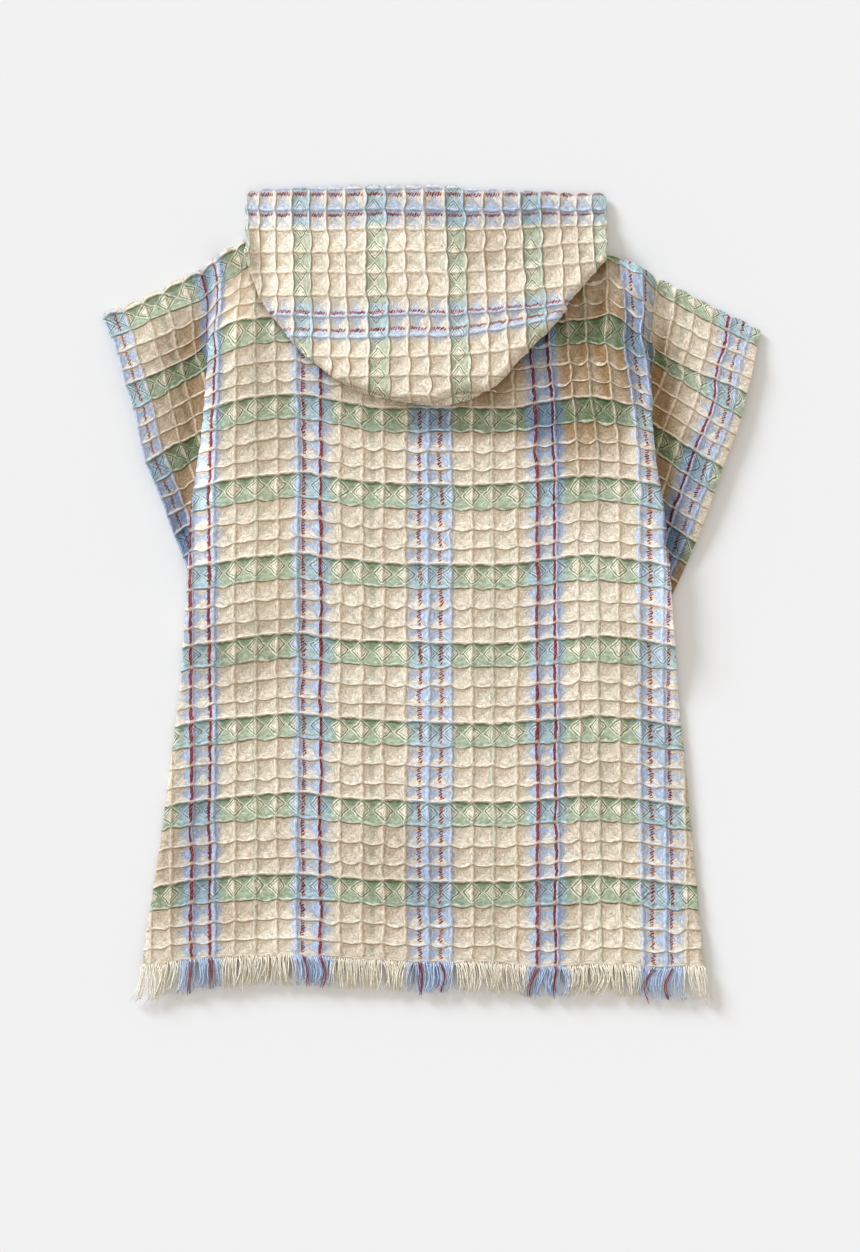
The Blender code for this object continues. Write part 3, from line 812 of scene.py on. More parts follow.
# ---------------------------------------------------------------- hood
HOOD_COLUMNS = [238, 247, 258, 274.5, 291, 308.5, 326, 344, 363.5, 383.6, 403, 423]
HOOD_COLUMNS += [444, 462.7, 482, 501.5, 519.7, 539, 558, 575, 591, 606, 620]
HOOD_ROWS = [170, 187, 208.5, 229, 251.5, 272.5, 295, 314.8, 335.5, 355, 375, 395, 415]
HOOD_RISE = [0, 0, 0, 3.5, 8, 9, 10.5, 12.8, 25, 18, 5, 0, 0]
# Outline in the same units as the net above: the face edge, then the rounded
# lower edges of the outer and of the inner panel.
HOOD_FACE = [(240, 193), (252, 191.5), (281, 189), (320, 187), (352, 185), (432, 185.3)]
HOOD_FACE += [(455, 186.5), (485, 188.8), (512, 190.5), (540, 192), (575, 194), (612, 195)]
HOOD_EDGE = [(243, 252), (247, 265), (251.5, 274), (258, 296), (270, 314), (286, 332.5)]
HOOD_EDGE += [(296, 346), (315, 364), (337, 380), (361, 388.5), (385.5, 394.8)]
HOOD_EDGE += [(409.7, 400.6), (425, 402.6), (437, 400), (446.5, 395.5), (463.8, 390)]
HOOD_EDGE += [(475, 390.2), (485.3, 390.3), (496.5, 385), (506.9, 373), (528.4, 349)]
HOOD_EDGE += [(549, 330), (559.7, 318.2), (567, 304.8), (580.3, 287.9), (592.4, 274.5)]
HOOD_EDGE += [(604.5, 261.5), (610, 256)]
UNDER_EDGE = [(243, 240), (258, 285), (286, 325), (320, 362), (345, 385), (361, 392)]
UNDER_EDGE += [(385, 398.3), (405, 403), (432, 406.5), (446.6, 406), (466.4, 401)]
UNDER_EDGE += [(478.4, 395.8), (486, 390), (496, 380), (528, 342), (560, 312), (604, 255)]


def to_mm(points):
    p = np.array(points, float)
    return np.stack(
        [(p[:, 0] - NET_MIDDLE[0]) * NET_SCALE, (NET_MIDDLE[1] - p[:, 1]) * NET_SCALE], 1
    )


def hood_low(x):
    p = to_mm(HOOD_EDGE)
    return through(p[:, 0], p[:, 1], x)


def outline_distance(x, y, points, closed=False):
    """Distance in millimetres from each point to a line of points."""
    p = to_mm(points)
    best = np.full(x.shape, 1e9)
    for a, b in zip(p[:-1], p[1:]):
        d = b - a
        s = np.clip(((x - a[0]) * d[0] + (y - a[1]) * d[1]) / (d @ d), 0, 1)
        best = np.minimum(best, np.hypot(x - a[0] - s * d[0], y - a[1] - s * d[1]))
    return best


def hood_z(x, y):
    over = highest_back(x, np.minimum(y, SHOULDER_Y - 24), 11.0) + 2 * PITCH
    return over + (level(2) - over) * smooth((y - 270) / 36)


def hood_grid(per, p0, p1, q0, q1):
    ps, qs = ladder(p0, p1, per), ladder(q0, q1, per)
    U, Q = np.meshgrid(ps, qs)
    col = through(np.arange(-1, len(HOOD_COLUMNS) - 1), HOOD_COLUMNS, U)
    px = col + (1.5 + 0.28 * U) * (Q + 1) / 7
    py = through(np.arange(-3, len(HOOD_ROWS) - 3), HOOD_ROWS, Q)
    rise = through(np.arange(-3, len(HOOD_RISE) - 3), HOOD_RISE, Q)
    py = py - rise * np.clip((px - 440) / 140, 0, 1.3) ** 1.5
    py = py + 2.0 * np.exp(-(((px - 350) / 40) ** 2)) * smooth((Q - 1) / 3)
    x = (px - NET_MIDDLE[0]) * NET_SCALE
    y = (NET_MIDDLE[1] - py) * NET_SCALE
    return U, Q, x, y, ps, qs


def hood_panel(name, outer, per, macro, material):
    U, Q, x, y, ps, qs = hood_grid(per, -1.0, 21.0, -2.6, 9.0)
    R, C = U.shape
    a = 2 * (U - np.floor(U)) - 1
    b = 2 * (Q - np.floor(Q)) - 1
    edge = HOOD_EDGE if outer else UNDER_EDGE
    low = to_mm(edge)
    bottom = y - through(low[:, 0], low[:, 1], x)
    bottom = np.sign(bottom) * outline_distance(x, y, edge)
    if outer:
        face = to_mm(HOOD_FACE)
        bumps = 2.9 * (1 - np.abs(a) ** 2.2) * 0.9
        top = through(face[:, 0], face[:, 1], x) - 1.4 + bumps - y
    else:
        top = 259.0 - y
    left = x + 144.3 + 0.8 * np.cos(2 * np.pi * Q)
    right = 136.8 - x + 0.8 * np.cos(2 * np.pi * Q)
    inside = np.minimum.reduce([bottom, top, left, right])
    inside = np.where(np.abs(inside) < 0.02, 0.02, inside)
    if outer:
        # The hood stands off the back like a flat cushion and rounds down to
        # its lower edge.
        puff = 6.5 * smooth((292 - y) / 62) * smooth((x + 150) / 60)
        inward = np.clip(np.maximum(bottom, 0) / 4.2, 0, 1)
        z = hood_z(x, y) + puff * np.sqrt(1 - (1 - inward) ** 2)
        z = z + 0.8 * np.exp(-(((y - 300) / 14) ** 2))
    else:
        z = highest_back(x, np.minimum(y, 258.0), 8.0) + PITCH
    P = np.stack([x, y, z], 2)
    du, dq = np.gradient(P, ps, axis=1), np.gradient(P, qs, axis=0)
    N = np.cross(du, -dq)
    N /= np.maximum(np.linalg.norm(N, axis=2, keepdims=True), 1e-9)
    N *= np.sign(N[..., 2:3])
    # The hood's cloth runs across: its warp ridges lie level, q.
    flat = np.ones((R, C))
    if not outer:
        covered = smooth((y - hood_low(x) + 0.5) / 5)
        flat *= 1 - 0.75 * covered
    dq_ = 0.05 * cell_noise(U, Q + 0.5, 21) * (1 - a**2) * np.abs(b) ** 3
    dq_ = dq_ + 0.045 * (1 - a**2) * np.abs(b) ** 3
    # The upright ridges, weft here, bow between crossings.
    bow = 0.09 + 0.09 * cell_noise(U + 0.5, Q, 22)
    du_ = bow * (1 - b**2) * np.abs(a) ** 3
    dq_ = dq_ + 0.05 * noise_field((R, C), per * 1.7, 23)
    du_ = du_ + 0.05 * noise_field((R, C), per * 1.7, 24)
    P = P + dq * (dq_ * flat)[..., None] + du * (du_ * flat)[..., None]
    high = waffle(Q, U, vertical=0.95, level_one=1.0)
    uneven = 1 + 0.16 * noise_field((R, C), per * 1.3, 25) + 0.1 * cell_noise(U, Q, 26)
    up = 0.25 + 1.7 * high * flat * uneven
    up = up + 0.4 * noise_field((R, C), per * 3.3, 27) * flat
    if outer:
        down = np.full((R, C), 1.1)
        rim = smooth(np.maximum(inside, 0) / 1.6)
        up = 0.3 + (up - 0.3) * (0.3 + 0.7 * rim)
        # The face edge is a rolled fold.
        roll = np.clip(1 - np.maximum(top, 0) / 5.0, 0, 1)
        up = up + 0.6 * (1 - roll) - 0.6
        up = np.maximum(up, 0.15)
    else:
        down = np.full((R, C), 1.0)
        rim = smooth(np.maximum(inside, 0) / 2.2)
        up = 0.2 + (up - 0.2) * (0.3 + 0.7 * rim)
        up = np.where(y > hood_low(x) + 3, np.minimum(up, 1.2), up)
    weave = np.stack([Q, U], 2)
    count = np.interp(
        Q, [-7.0, -1.66, -0.7, 1.6, 3.87, 4.70, 9.2], [-1, 0, SECOND, SINGLE, 1, 1 + SECOND, 2]
    )
    thread = np.stack([count, U + 1], 2)
    fine = np.zeros((R - 1, C - 1), bool)
    # The outer panel's deep values are painted shade and painted light from SHADE_HOOD.
    return cloth_shell(
        name, P, N, inside, weave, thread, up, down, fine, macro, [material],
        np.maximum(inside, 0) / 17.0, patches(x, y, SHADE_HOOD) if outer else None,
    )


def slab(name, middle, half, weave, thread, material):
    """A plain closed slab on a grid of middle points, half thick either way."""
    R, C, _ = middle.shape
    du, dv = np.gradient(middle, axis=1), np.gradient(middle, axis=0)
    n = np.cross(dv, du)
    n /= np.maximum(np.linalg.norm(n, axis=2, keepdims=True), 1e-9)
    inside = np.full((R + 2, C + 2), -1.0)
    inside[1:-1, 1:-1] = 1.0
    grow = lambda g: np.pad(g, [(1, 1), (1, 1)] + [(0, 0)] * (g.ndim - 2), mode="edge")
    thick = np.full((R + 2, C + 2), float(half))
    return cloth_shell(
        name, grow(middle), grow(n), inside, grow(weave), grow(thread), thick, thick,
        np.ones((R + 1, C + 1), bool), 4, [material],
    )


# ---------------------------------------------------------------- materials
def srgb(r, g, b):
    return tuple(
        c / 12.92 if c <= 0.04045 else ((c + 0.055) / 1.055) ** 2.4
        for c in (r / 255, g / 255, b / 255)
    ) + (1.0,)


CREAM = srgb(214, 202, 182)
SAGE = srgb(164, 176, 150)
BLUE = srgb(142, 178, 224)
RED = srgb(150, 34, 28)
MAROON = srgb(96, 18, 22)
LIGHT = srgb(236, 228, 210)


class Graph:
    """Short ways to write a node tree."""

    def __init__(self, tree):
        self.tree, self.nodes, self.links = tree, tree.nodes, tree.links

    def plug(self, socket, value):
        if isinstance(value, bpy.types.NodeSocket):
            self.links.new(value, socket)
        elif value is not None:
            socket.default_value = value

    def math(self, kind, a, b=None, c=None, clamp=False):
        n = self.nodes.new("ShaderNodeMath")
        n.operation, n.use_clamp = kind, clamp
        for socket, value in zip(n.inputs, (a, b, c)):
            self.plug(socket, value)
        return n.outputs[0]

    def step(self, value, low, high, a=0.0, b=1.0):
        n = self.nodes.new("ShaderNodeMapRange")
        n.interpolation_type = "SMOOTHSTEP"
        for key, v in zip(("Value", "From Min", "From Max", "To Min", "To Max"), (value, low, high, a, b)):
            self.plug(n.inputs[key], v)
        return n.outputs["Result"]

    def mix(self, share, a, b, blend="MIX"):
        n = self.nodes.new("ShaderNodeMix")
        n.data_type, n.blend_type = "RGBA", blend
        self.plug(n.inputs["Factor"], share)
        self.plug([s for s in n.inputs if s.name == "A" and s.type == "RGBA"][0], a)
        self.plug([s for s in n.inputs if s.name == "B" and s.type == "RGBA"][0], b)
        return [s for s in n.outputs if s.type == "RGBA"][0]

    def split(self, vector):
        n = self.nodes.new("ShaderNodeSeparateXYZ")
        self.plug(n.inputs[0], vector)
        return n.outputs

    def noise(self, vector, scale, detail=2.0, rough=0.5):
        n = self.nodes.new("ShaderNodeTexNoise")
        self.plug(n.inputs["Vector"], vector)
        n.inputs["Scale"].default_value = scale
        n.inputs["Detail"].default_value = detail
        n.inputs["Roughness"].default_value = rough
        return n.outputs["Fac"]


def cloth_material(name, strand=False, hood=False):
    """Waffle cloth: which yarn shows where, from the warp and weft counts."""
    m = bpy.data.materials.new(name)
    m.use_nodes = True
    g = Graph(m.node_tree)
    shader = m.node_tree.nodes["Principled BSDF"]

    def attribute(label):
        n = g.nodes.new("ShaderNodeAttribute")
        n.attribute_name = label
        return n.outputs["Vector"]

    def invert(value):
        return g.math("SUBTRACT", 1.0, value)

    def both(*values):
        out = values[0]
        for value in values[1:]:
            out = g.math("MULTIPLY", out, value)
        return out

    weave = attribute("weave")
    place, cloth = g.split(weave), g.split(attribute("thread"))
    # The yarns never run quite true.
    n = g.nodes.new("ShaderNodeTexNoise")
    g.plug(n.inputs["Vector"], weave)
    n.inputs["Scale"].default_value = 1.9
    n.inputs["Detail"].default_value = 2.0
    stray = g.split(n.outputs["Color"])
    sway = 0.0 if strand else 0.20
    off_w = g.math("MULTIPLY", g.math("SUBTRACT", stray[0], 0.5), sway)
    off_t = g.math("MULTIPLY", g.math("SUBTRACT", stray[1], 0.5), sway)
    W, T = g.math("ADD", place[0], off_w), g.math("ADD", place[1], off_t)
    # deep, the thread attribute's third value, is painted shade, and painted light below 0.
    stripe, weft, deep = cloth[0], g.math("ADD", cloth[1], off_t), cloth[2]
    a = g.math("MULTIPLY_ADD", g.math("FRACT", W), 2.0, -1.0)
    b = g.math("MULTIPLY_ADD", g.math("FRACT", T), 2.0, -1.0)
    A, B = g.math("ABSOLUTE", a), g.math("ABSOLUTE", b)
    slant = g.math("SUBTRACT", A, B)

    def streaks(along_w, along_t, seed, detail=2.0):
        n = g.nodes.new("ShaderNodeCombineXYZ")
        g.plug(n.inputs[0], g.math("MULTIPLY", W, along_w))
        g.plug(n.inputs[1], g.math("MULTIPLY", T, along_t))
        n.inputs[2].default_value = seed
        return g.math("SUBTRACT", g.noise(n.outputs[0], 1.0, detail, 0.65), 0.5)

    warp_grain = streaks(6.5, 3.0, 3.0, 3.0)
    weft_grain = streaks(3.0, 6.5, 9.0, 3.0)
    warp_side = g.step(slant, -0.15, 0.15)
    n = g.nodes.new("ShaderNodeMix")
    n.data_type = "FLOAT"
    for socket, value in zip([i for i in n.inputs if i.type == "VALUE"], (warp_side, weft_grain, warp_grain)):
        g.plug(socket, value)
    grain = [o for o in n.outputs if o.type == "VALUE"][0]
    # Finer still, the fibres and plies of single yarns.
    n = g.nodes.new("ShaderNodeMix")
    n.data_type = "FLOAT"
    plies = (warp_side, streaks(5.0, 15.0, 27.0, 1.0), streaks(15.0, 5.0, 21.0, 1.0))
    for socket, value in zip([i for i in n.inputs if i.type == "VALUE"], plies):
        g.plug(socket, value)
    ply = [o for o in n.outputs if o.type == "VALUE"][0]
    broad = g.math("SUBTRACT", g.noise(weave, 0.5, 2.0), 0.5)
    # Single yarns run side by side along each flank.
    n = g.nodes.new("ShaderNodeMix")
    n.data_type = "FLOAT"
    for socket, value in zip([i for i in n.inputs if i.type == "VALUE"], (warp_side, T, W)):
        g.plug(socket, value)
    lane = [o for o in n.outputs if o.type == "VALUE"][0]
    yarn = g.math("COSINE", g.math("MULTIPLY_ADD", lane, 2 * math.pi * 5.0, g.math("MULTIPLY", grain, 4.0)))
    yarn = g.math("MULTIPLY", yarn, g.step(g.math("SUBTRACT", g.noise(weave, 2.3, 1.0), 0.5), -0.12, 0.10, 0.3, 1.0))
    # Between them the ground weaves plain, over and under, at half that pitch.
    over = g.math("COSINE", g.math("MULTIPLY_ADD", W, 2 * math.pi * 8.0, g.math("MULTIPLY", weft_grain, 9.0)))
    across = g.math("COSINE", g.math("MULTIPLY_ADD", T, 2 * math.pi * 7.0, g.math("MULTIPLY", warp_grain, 9.0)))
    ground = g.math("MULTIPLY", over, across)
    # Warp stripes, in cells from each group's first red line.
    offset = g.math("MULTIPLY", g.math("SUBTRACT", g.math("FRACT", g.math("ADD", stripe, 0.5)), 0.5), 5.35)
    offset = g.math("ADD", offset, off_w)
    soft = g.math("MULTIPLY_ADD", grain, 0.9, offset)
    blue = both(g.step(soft, -0.66, -0.26), g.step(soft, 1.22, 1.62, 1.0, 0.0))
    green = g.math(
        "LESS_THAN",
        g.math("FRACT", g.math("MULTIPLY", g.math("SUBTRACT", weft, 0.07), 0.25)),
        0.2575,
    )
    if strand:
        colour = g.mix(blue, srgb(244, 235, 215), srgb(188, 208, 236))
    else:
        # In cream rows the blue warp shows through most of the cell; in green
        # rows the warp keeps to small diamonds on its own ridges.
        reach = g.math("MULTIPLY_ADD", blue, 0.10, g.math("MULTIPLY", green, -0.36))
        steep = g.math("SUBTRACT", A, g.math("MULTIPLY", B, 1.1))
        width = g.math("MULTIPLY_ADD", green, -0.20, g.math("MULTIPLY_ADD", blue, -0.07, 0.29))
        lead = g.math("ADD", g.math("ADD", steep, reach), g.math("MULTIPLY", grain, 0.5))
        top = g.step(g.math("DIVIDE", lead, width), -1.0, 1.0)
        heather = g.step(g.math("MULTIPLY_ADD", yarn, 0.05, grain), -0.16, 0.16)
        share = 0.72 if hood else 0.92
        shown = both(blue, g.math("MULTIPLY_ADD", heather, 0.40, 0.46 if hood else 0.44), share)
        warp = g.mix(shown, g.mix(green, CREAM, srgb(226, 214, 190)), BLUE)
        weft_c = g.mix(g.math("MULTIPLY", green, 0.70 if hood else 1.0), CREAM, SAGE)
        weft_c = g.mix(both(green, blue, 0.55), weft_c, srgb(168, 192, 202))
        colour = g.mix(top, weft_c, warp)
        # Blue tints what lies between, heathered with the weft.
        colour = g.mix(both(blue, g.math("MULTIPLY_ADD", heather, 0.18, 0.03), share), colour, BLUE)
        # Painted shade: the left flank of a blue cell, which faces away from the light, is painted a deeper blue.
        painted_shade_flank = both(blue, top, g.step(a, -0.95, -0.10, 1.0, 0.0), g.step(A, 0.80, 0.95, 1.0, 0.0))
        colour = g.mix(g.math("MULTIPLY", painted_shade_flank, 0.30), colour, srgb(100, 134, 188))
        # Crossing floats: pale and dark lines along the slants of green rows.
        ripple = g.math("COSINE", g.math("MULTIPLY", g.math("SUBTRACT", steep, 0.03), 20.0))
        pale = both(g.step(ripple, -0.3, 0.3), g.step(steep, -0.16, -0.08), g.step(steep, 0.38, 0.44, 1.0, 0.0), green)
        dark = both(g.step(ripple, 0.2, -0.5), g.step(steep, 0.04, 0.08), g.step(steep, 0.50, 0.55, 1.0, 0.0), green)
        worn = g.step(warp_grain, -0.25, 0.05, 0.55, 1.0)
        colour = g.mix(both(pale, worn, 0.92), colour, g.mix(blue, srgb(230, 226, 202), srgb(188, 208, 220)))
        colour = g.mix(both(dark, worn, 0.74), colour, srgb(92, 104, 76))
        # Painted shade: green is painted deepest under each upper ridge, on the flank that faces away from the light.
        upper = both(green, g.step(b, -0.95, -0.15, 1.0, 0.0), g.step(slant, -0.30, -0.05, 1.0, 0.0))
        colour = g.mix(g.math("MULTIPLY", upper, 0.34 if hood else 0.80), colour, g.mix(blue, srgb(96, 116, 80), srgb(108, 142, 154)))
        # Painted shade: cream cells are painted warmer and darker on the upper and left flanks, which face away from
        # the light.
        patchy = g.step(g.math("SUBTRACT", g.noise(weave, 4.1, 2.0), 0.5), -0.12, 0.12, 0.3, 1.0)
        pit = both(g.step(b, -0.95, -0.18, 1.0, 0.0), g.step(slant, -0.30, 0.06, 1.0, 0.0))
        left = both(g.step(a, -0.92, -0.25, 1.0, 0.0), g.step(slant, -0.10, 0.25), 0.42 if hood else 0.62)
        pit = g.math("MAXIMUM", pit, left)
        painted_facet_shade = both(invert(green), g.math("MAXIMUM", pit, both(g.step(b, -0.95, 0.15, 1.0, 0.0), 0.30)), patchy, g.math("MULTIPLY_ADD", blue, -0.5, 1.0))
        colour = g.mix(g.math("MULTIPLY", painted_facet_shade, 0.80 if hood else 0.70), colour, srgb(190, 156, 120))
        # Painted light: the lower flank of cream cells is painted paler.
        painted_lit_facet = both(invert(green), g.step(b, 0.05, 0.80), g.step(slant, -0.30, 0.0, 1.0, 0.0), patchy)
        colour = g.mix(g.math("MULTIPLY", painted_lit_facet, 0.36), colour, LIGHT)
        # The same crossings hardly show where warp and weft are both cream.
        faint = both(g.step(ripple, -0.2, 0.8), g.step(slant, -0.05, 0.05), g.step(slant, 0.3, 0.42, 1.0, 0.0), invert(green))
        colour = g.mix(g.math("MULTIPLY", faint, 0.14), colour, LIGHT)
        # Flecks of warmer and of paler fibre.
        colour = g.mix(g.math("MULTIPLY", g.step(ply, 0.02, 0.16), g.math("MULTIPLY_ADD", green, -0.14, 0.22)), colour, LIGHT)
        colour = g.mix(both(g.step(ply, -0.02, -0.16), 0.24, invert(blue), invert(green)), colour, srgb(216, 176, 140))
        # One sage thread between the groups, in dashes.
        single = g.step(g.math("ABSOLUTE", g.math("SUBTRACT", offset, -2.14)), 0.08, 0.16, 1.0, 0.0)
        single = both(single, g.step(B, 0.62, 0.86, 1.0, 0.12), g.step(grain, -0.15, 0.1, 0.25, 1.0), 0.32 if hood else 0.55)
        colour = g.mix(single, colour, srgb(132, 150, 118))
    # Two red threads a group: a long float where they run on a ridge, little
    # zigzag stitches where they run along the middle of a cell.
    line_a = g.step(A, 0.42, 0.55, 0.0, 0.0 if hood else 1.0)
    zig = g.math("SUBTRACT", g.math("PINGPONG", g.math("MULTIPLY", T, 9.0), 1.0), 0.5)
    zig = both(zig, 0.05 if hood else 0.07, invert(line_a))
    bend = g.math("ADD", offset, zig)
    slim = g.math("MULTIPLY_ADD", line_a, -0.002, 0.016)
    first = g.step(g.math("SUBTRACT", g.math("ABSOLUTE", bend), slim), 0.040, 0.080, 1.0, 0.0)
    other = g.step(g.math("SUBTRACT", g.math("ABSOLUTE", g.math("SUBTRACT", bend, 0.87)), slim), 0.040, 0.080, 1.0, 0.0)
    red = g.math("MAXIMUM", first, other)
    if strand:
        colour = g.mix(both(red, 0.0), colour, srgb(168, 44, 30))
    else:
        n = g.nodes.new("ShaderNodeCombineXYZ")
        g.plug(n.inputs[0], g.math("FLOOR", g.math("MULTIPLY", W, 2.0)))
        g.plug(n.inputs[1], g.math("FLOOR", T))
        pick = g.nodes.new("ShaderNodeTexWhiteNoise")
        pick.noise_dimensions = "2D"
        g.plug(pick.inputs["Vector"], n.outputs[0])
        # Each float is plied: its turns show as slanting bits, dark ones and bright ones, the bright ones painted
        # highlights on the turns.
        beat = g.math("PINGPONG", g.math("MULTIPLY_ADD", offset, 6.0, g.math("MULTIPLY", T, 8.0)), 0.5)
        floats = g.mix(g.step(pick.outputs["Value"], 0.1, 0.9, 0.05, 0.62), MAROON, RED)
        turn = g.math("PINGPONG", g.math("MULTIPLY_ADD", offset, 7.0, g.math("MULTIPLY", T, 5.0)), 0.5)
        turn = g.math("ADD", turn, g.math("MULTIPLY", grain, 0.5))
        floats = g.mix(both(g.step(turn, 0.08, 0.22, 1.0, 0.0), 0.70), floats, srgb(92, 14, 24))
        floats = g.mix(both(g.step(turn, 0.30, 0.44), 0.42), floats, srgb(222, 110, 84))
        stitch = g.mix(g.step(g.math("ADD", beat, grain), 0.12, 0.34), srgb(92, 18, 24), srgb(190, 92, 70))
        line_c = g.mix(line_a, stitch, floats)
        on_weft = g.step(B, 0.77, 0.91)
        line_c = g.mix(both(on_weft, line_a, 0.86), line_c, srgb(222, 180, 152))
        gap = g.step(g.math("ADD", beat, warp_grain), 0.24, 0.38, 1.0, 0.30)
        on_weft = g.step(B, 0.70, 0.86)
        red = both(red, invert(both(on_weft, invert(line_a), 0.92)))
        red = both(red, g.math("MAXIMUM", line_a, gap))
        colour = g.mix(g.math("MULTIPLY", red, 0.95), colour, line_c)
        # Ridge tops are the longest floats, painted paler as a painted highlight in full light; under each weft ridge,
        # and just right of each warp ridge, a thin painted shade where the cloth turns away.
        crest = g.math("MAXIMUM", g.math("MULTIPLY", g.step(A, 0.76, 0.95), g.math("MULTIPLY_ADD", green, -0.2, 0.7)), g.step(B, 0.86, 0.94))
        pale_c = g.mix(0.62, colour, g.mix(blue, LIGHT, srgb(200, 218, 244)))
        colour = g.mix(both(crest, invert(red), 0.62), colour, pale_c)
        under = both(g.step(b, -0.93, -0.86), g.step(b, -0.78, -0.62, 1.0, 0.0))
        beside = both(g.step(a, -0.93, -0.86), g.step(a, -0.78, -0.62, 1.0, 0.0))
        foot = g.math("MAXIMUM", g.math("MULTIPLY", under, 0.56), g.math("MULTIPLY", beside, 0.30))
        foot = both(foot, g.step(weft_grain, -0.2, 0.1, 0.4, 1.0), invert(red))
        colour = g.mix(foot, colour, g.mix(green, srgb(140, 112, 80), srgb(70, 84, 56)))
        # Painted shade from deep: the colour is multiplied toward a cream, green or blue shade colour, less on the
        # crests.
        dim = both(deep, g.math("MULTIPLY_ADD", crest, -0.55, 0.95))
        dim = g.math("MAXIMUM", dim, 0.0)
        shade_c = g.mix(green, srgb(164, 138, 106), srgb(140, 146, 124))
        shade_c = g.mix(blue, shade_c, srgb(140, 152, 178))
        colour = g.mix(dim, colour, g.mix(1.0, colour, shade_c, "MULTIPLY"))
    tint = g.math("MULTIPLY_ADD", broad, 0.12, g.math("MULTIPLY_ADD", grain, 0.9 if strand else 0.84, 1.0))
    if not strand:
        tint = g.math("MULTIPLY_ADD", yarn, 0.065, tint)
        tint = g.math("MULTIPLY_ADD", ground, 0.075, tint)
        tint = g.math("MULTIPLY_ADD", ply, 0.95, tint)
        tint = g.math("MULTIPLY_ADD", both(green, grain), 0.5, tint)
        # Painted light where deep is below 0: the colour is made lighter.
        tint = g.math("MULTIPLY_ADD", g.math("MINIMUM", deep, 0.0), -0.34, tint)
    n = g.nodes.new("ShaderNodeHueSaturation")
    g.plug(n.inputs["Value"], tint)
    g.plug(n.inputs["Color"], colour)
    g.plug(shader.inputs["Base Color"], n.outputs["Color"])
    shader.inputs["Roughness"].default_value = 0.9
    shader.inputs["Sheen Weight"].default_value = 0.05
    shader.inputs["Sheen Roughness"].default_value = 0.5
    shader.inputs["Specular IOR Level"].default_value = 0.1
    if not strand:
        # In millimetres: crisp flanks in green rows and soft ones in cream,
        # the cord on each ridge, the crossing floats and the yarns.
        cord = g.math("MAXIMUM", g.step(A, 0.78, 0.98, 0.0, 0.5), g.step(B, 0.86, 0.97))
        rib = g.math("MULTIPLY", ripple, both(g.step(slant, -0.1, 0.0), g.step(slant, 0.4, 0.5, 1.0, 0.0)))
        calm = g.step(place[2], 0.02, 0.35)
        facet = both(g.math("MAXIMUM", A, B), g.math("MULTIPLY_ADD", green, 0.40 if hood else 0.50, 0.60 if hood else 0.50), calm)
        height = g.math("MULTIPLY_ADD", both(cord, calm), 0.27, g.math("MULTIPLY_ADD", grain, 0.72, g.math("MULTIPLY", rib, g.math("MULTIPLY_ADD", green, 0.10, 0.04))))
        height = g.math("MULTIPLY_ADD", yarn, 0.045, g.math("MULTIPLY_ADD", ply, 0.35, g.math("ADD", height, facet)))
        bump = g.nodes.new("ShaderNodeBump")
        bump.inputs["Strength"].default_value = 1.0
        bump.inputs["Distance"].default_value = 0.001
        g.plug(bump.inputs["Height"], height)
        g.plug(shader.inputs["Normal"], bump.outputs[0])
    return m


cloth_body = cloth_material("waffle_cloth")
cloth_hood = cloth_material("waffle_cloth_hood", hood=True)
cloth_threads = cloth_material("fringe_threads", strand=True)
red_thread = bpy.data.materials.new("red_thread")
red_thread.use_nodes = True
red_thread.node_tree.nodes["Principled BSDF"].inputs["Base Color"].default_value = srgb(150, 48, 36)
red_thread.node_tree.nodes["Principled BSDF"].inputs["Roughness"].default_value = 0.85

QUICK = bool(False)
PER = 8
back_panel = body_panel("back_cloth", True, PER, 4, cloth_body)
front_panel = body_panel("front_cloth", False, 4, 2, cloth_body)
hood_outer = hood_panel("hood_cloth", True, 12, 4, cloth_hood)
hood_under = hood_panel("hood_lining", False, 8, 4, cloth_hood)


# The hood's wings run round under its sides to the throat, out of sight.
def wing_grid(side):
    edge = -143.5 if side < 0 else 136.5
    tip, fold = -3.5 + side * 0.3, edge - side * BEND_OUT
    fs, gs = np.linspace(0, 1, 17), np.linspace(0, 1, 13)
    rows, cols = [], []
    face = to_mm(HOOD_FACE)
    for g_ in gs:
        line = []
        for f in fs:
            x = tip + (fold - tip) * f
            share = (x + 3.5) / (edge + 3.5)
            low = 223 + 37 * abs(share) ** 1.7 + 0.6
            high = low + 4 + (float(through(face[:, 0], face[:, 1], edge)) - 3 - 260.6 - 4) * abs(share) ** 0.9
            line.append((x, high + (low - high) * g_, level(1)))
        for k in range(1, 8):
            ang = math.pi * (k / 8 - 0.5)
            high = float(through(face[:, 0], face[:, 1], edge)) - 3.5
            y = high + (261.0 - high) * g_
            over = float(hood_z(np.array([fold]), np.array([y]))[0])
            z = (level(1) + over) / 2 + (over - level(1)) / 2 * math.sin(ang)
            line.append((fold + side * BEND * math.cos(ang), y, z))
        rows.append(line)
    mid = np.array(rows)
    if side > 0:
        mid = mid[:, ::-1]
    U = mid[..., 0] / 17 + 8
    Q = (SHOULDER_Y - mid[..., 1]) / 16
    return mid, np.stack([Q, U], 2), np.stack([Q * 0.18, U], 2)


wings = []
for side in (-1, 1):
    mid, weave, thread = wing_grid(side)
    wings.append(slab("hood_wing_" + ("left" if side < 0 else "right"), mid, 1.0, weave, thread, cloth_hood))


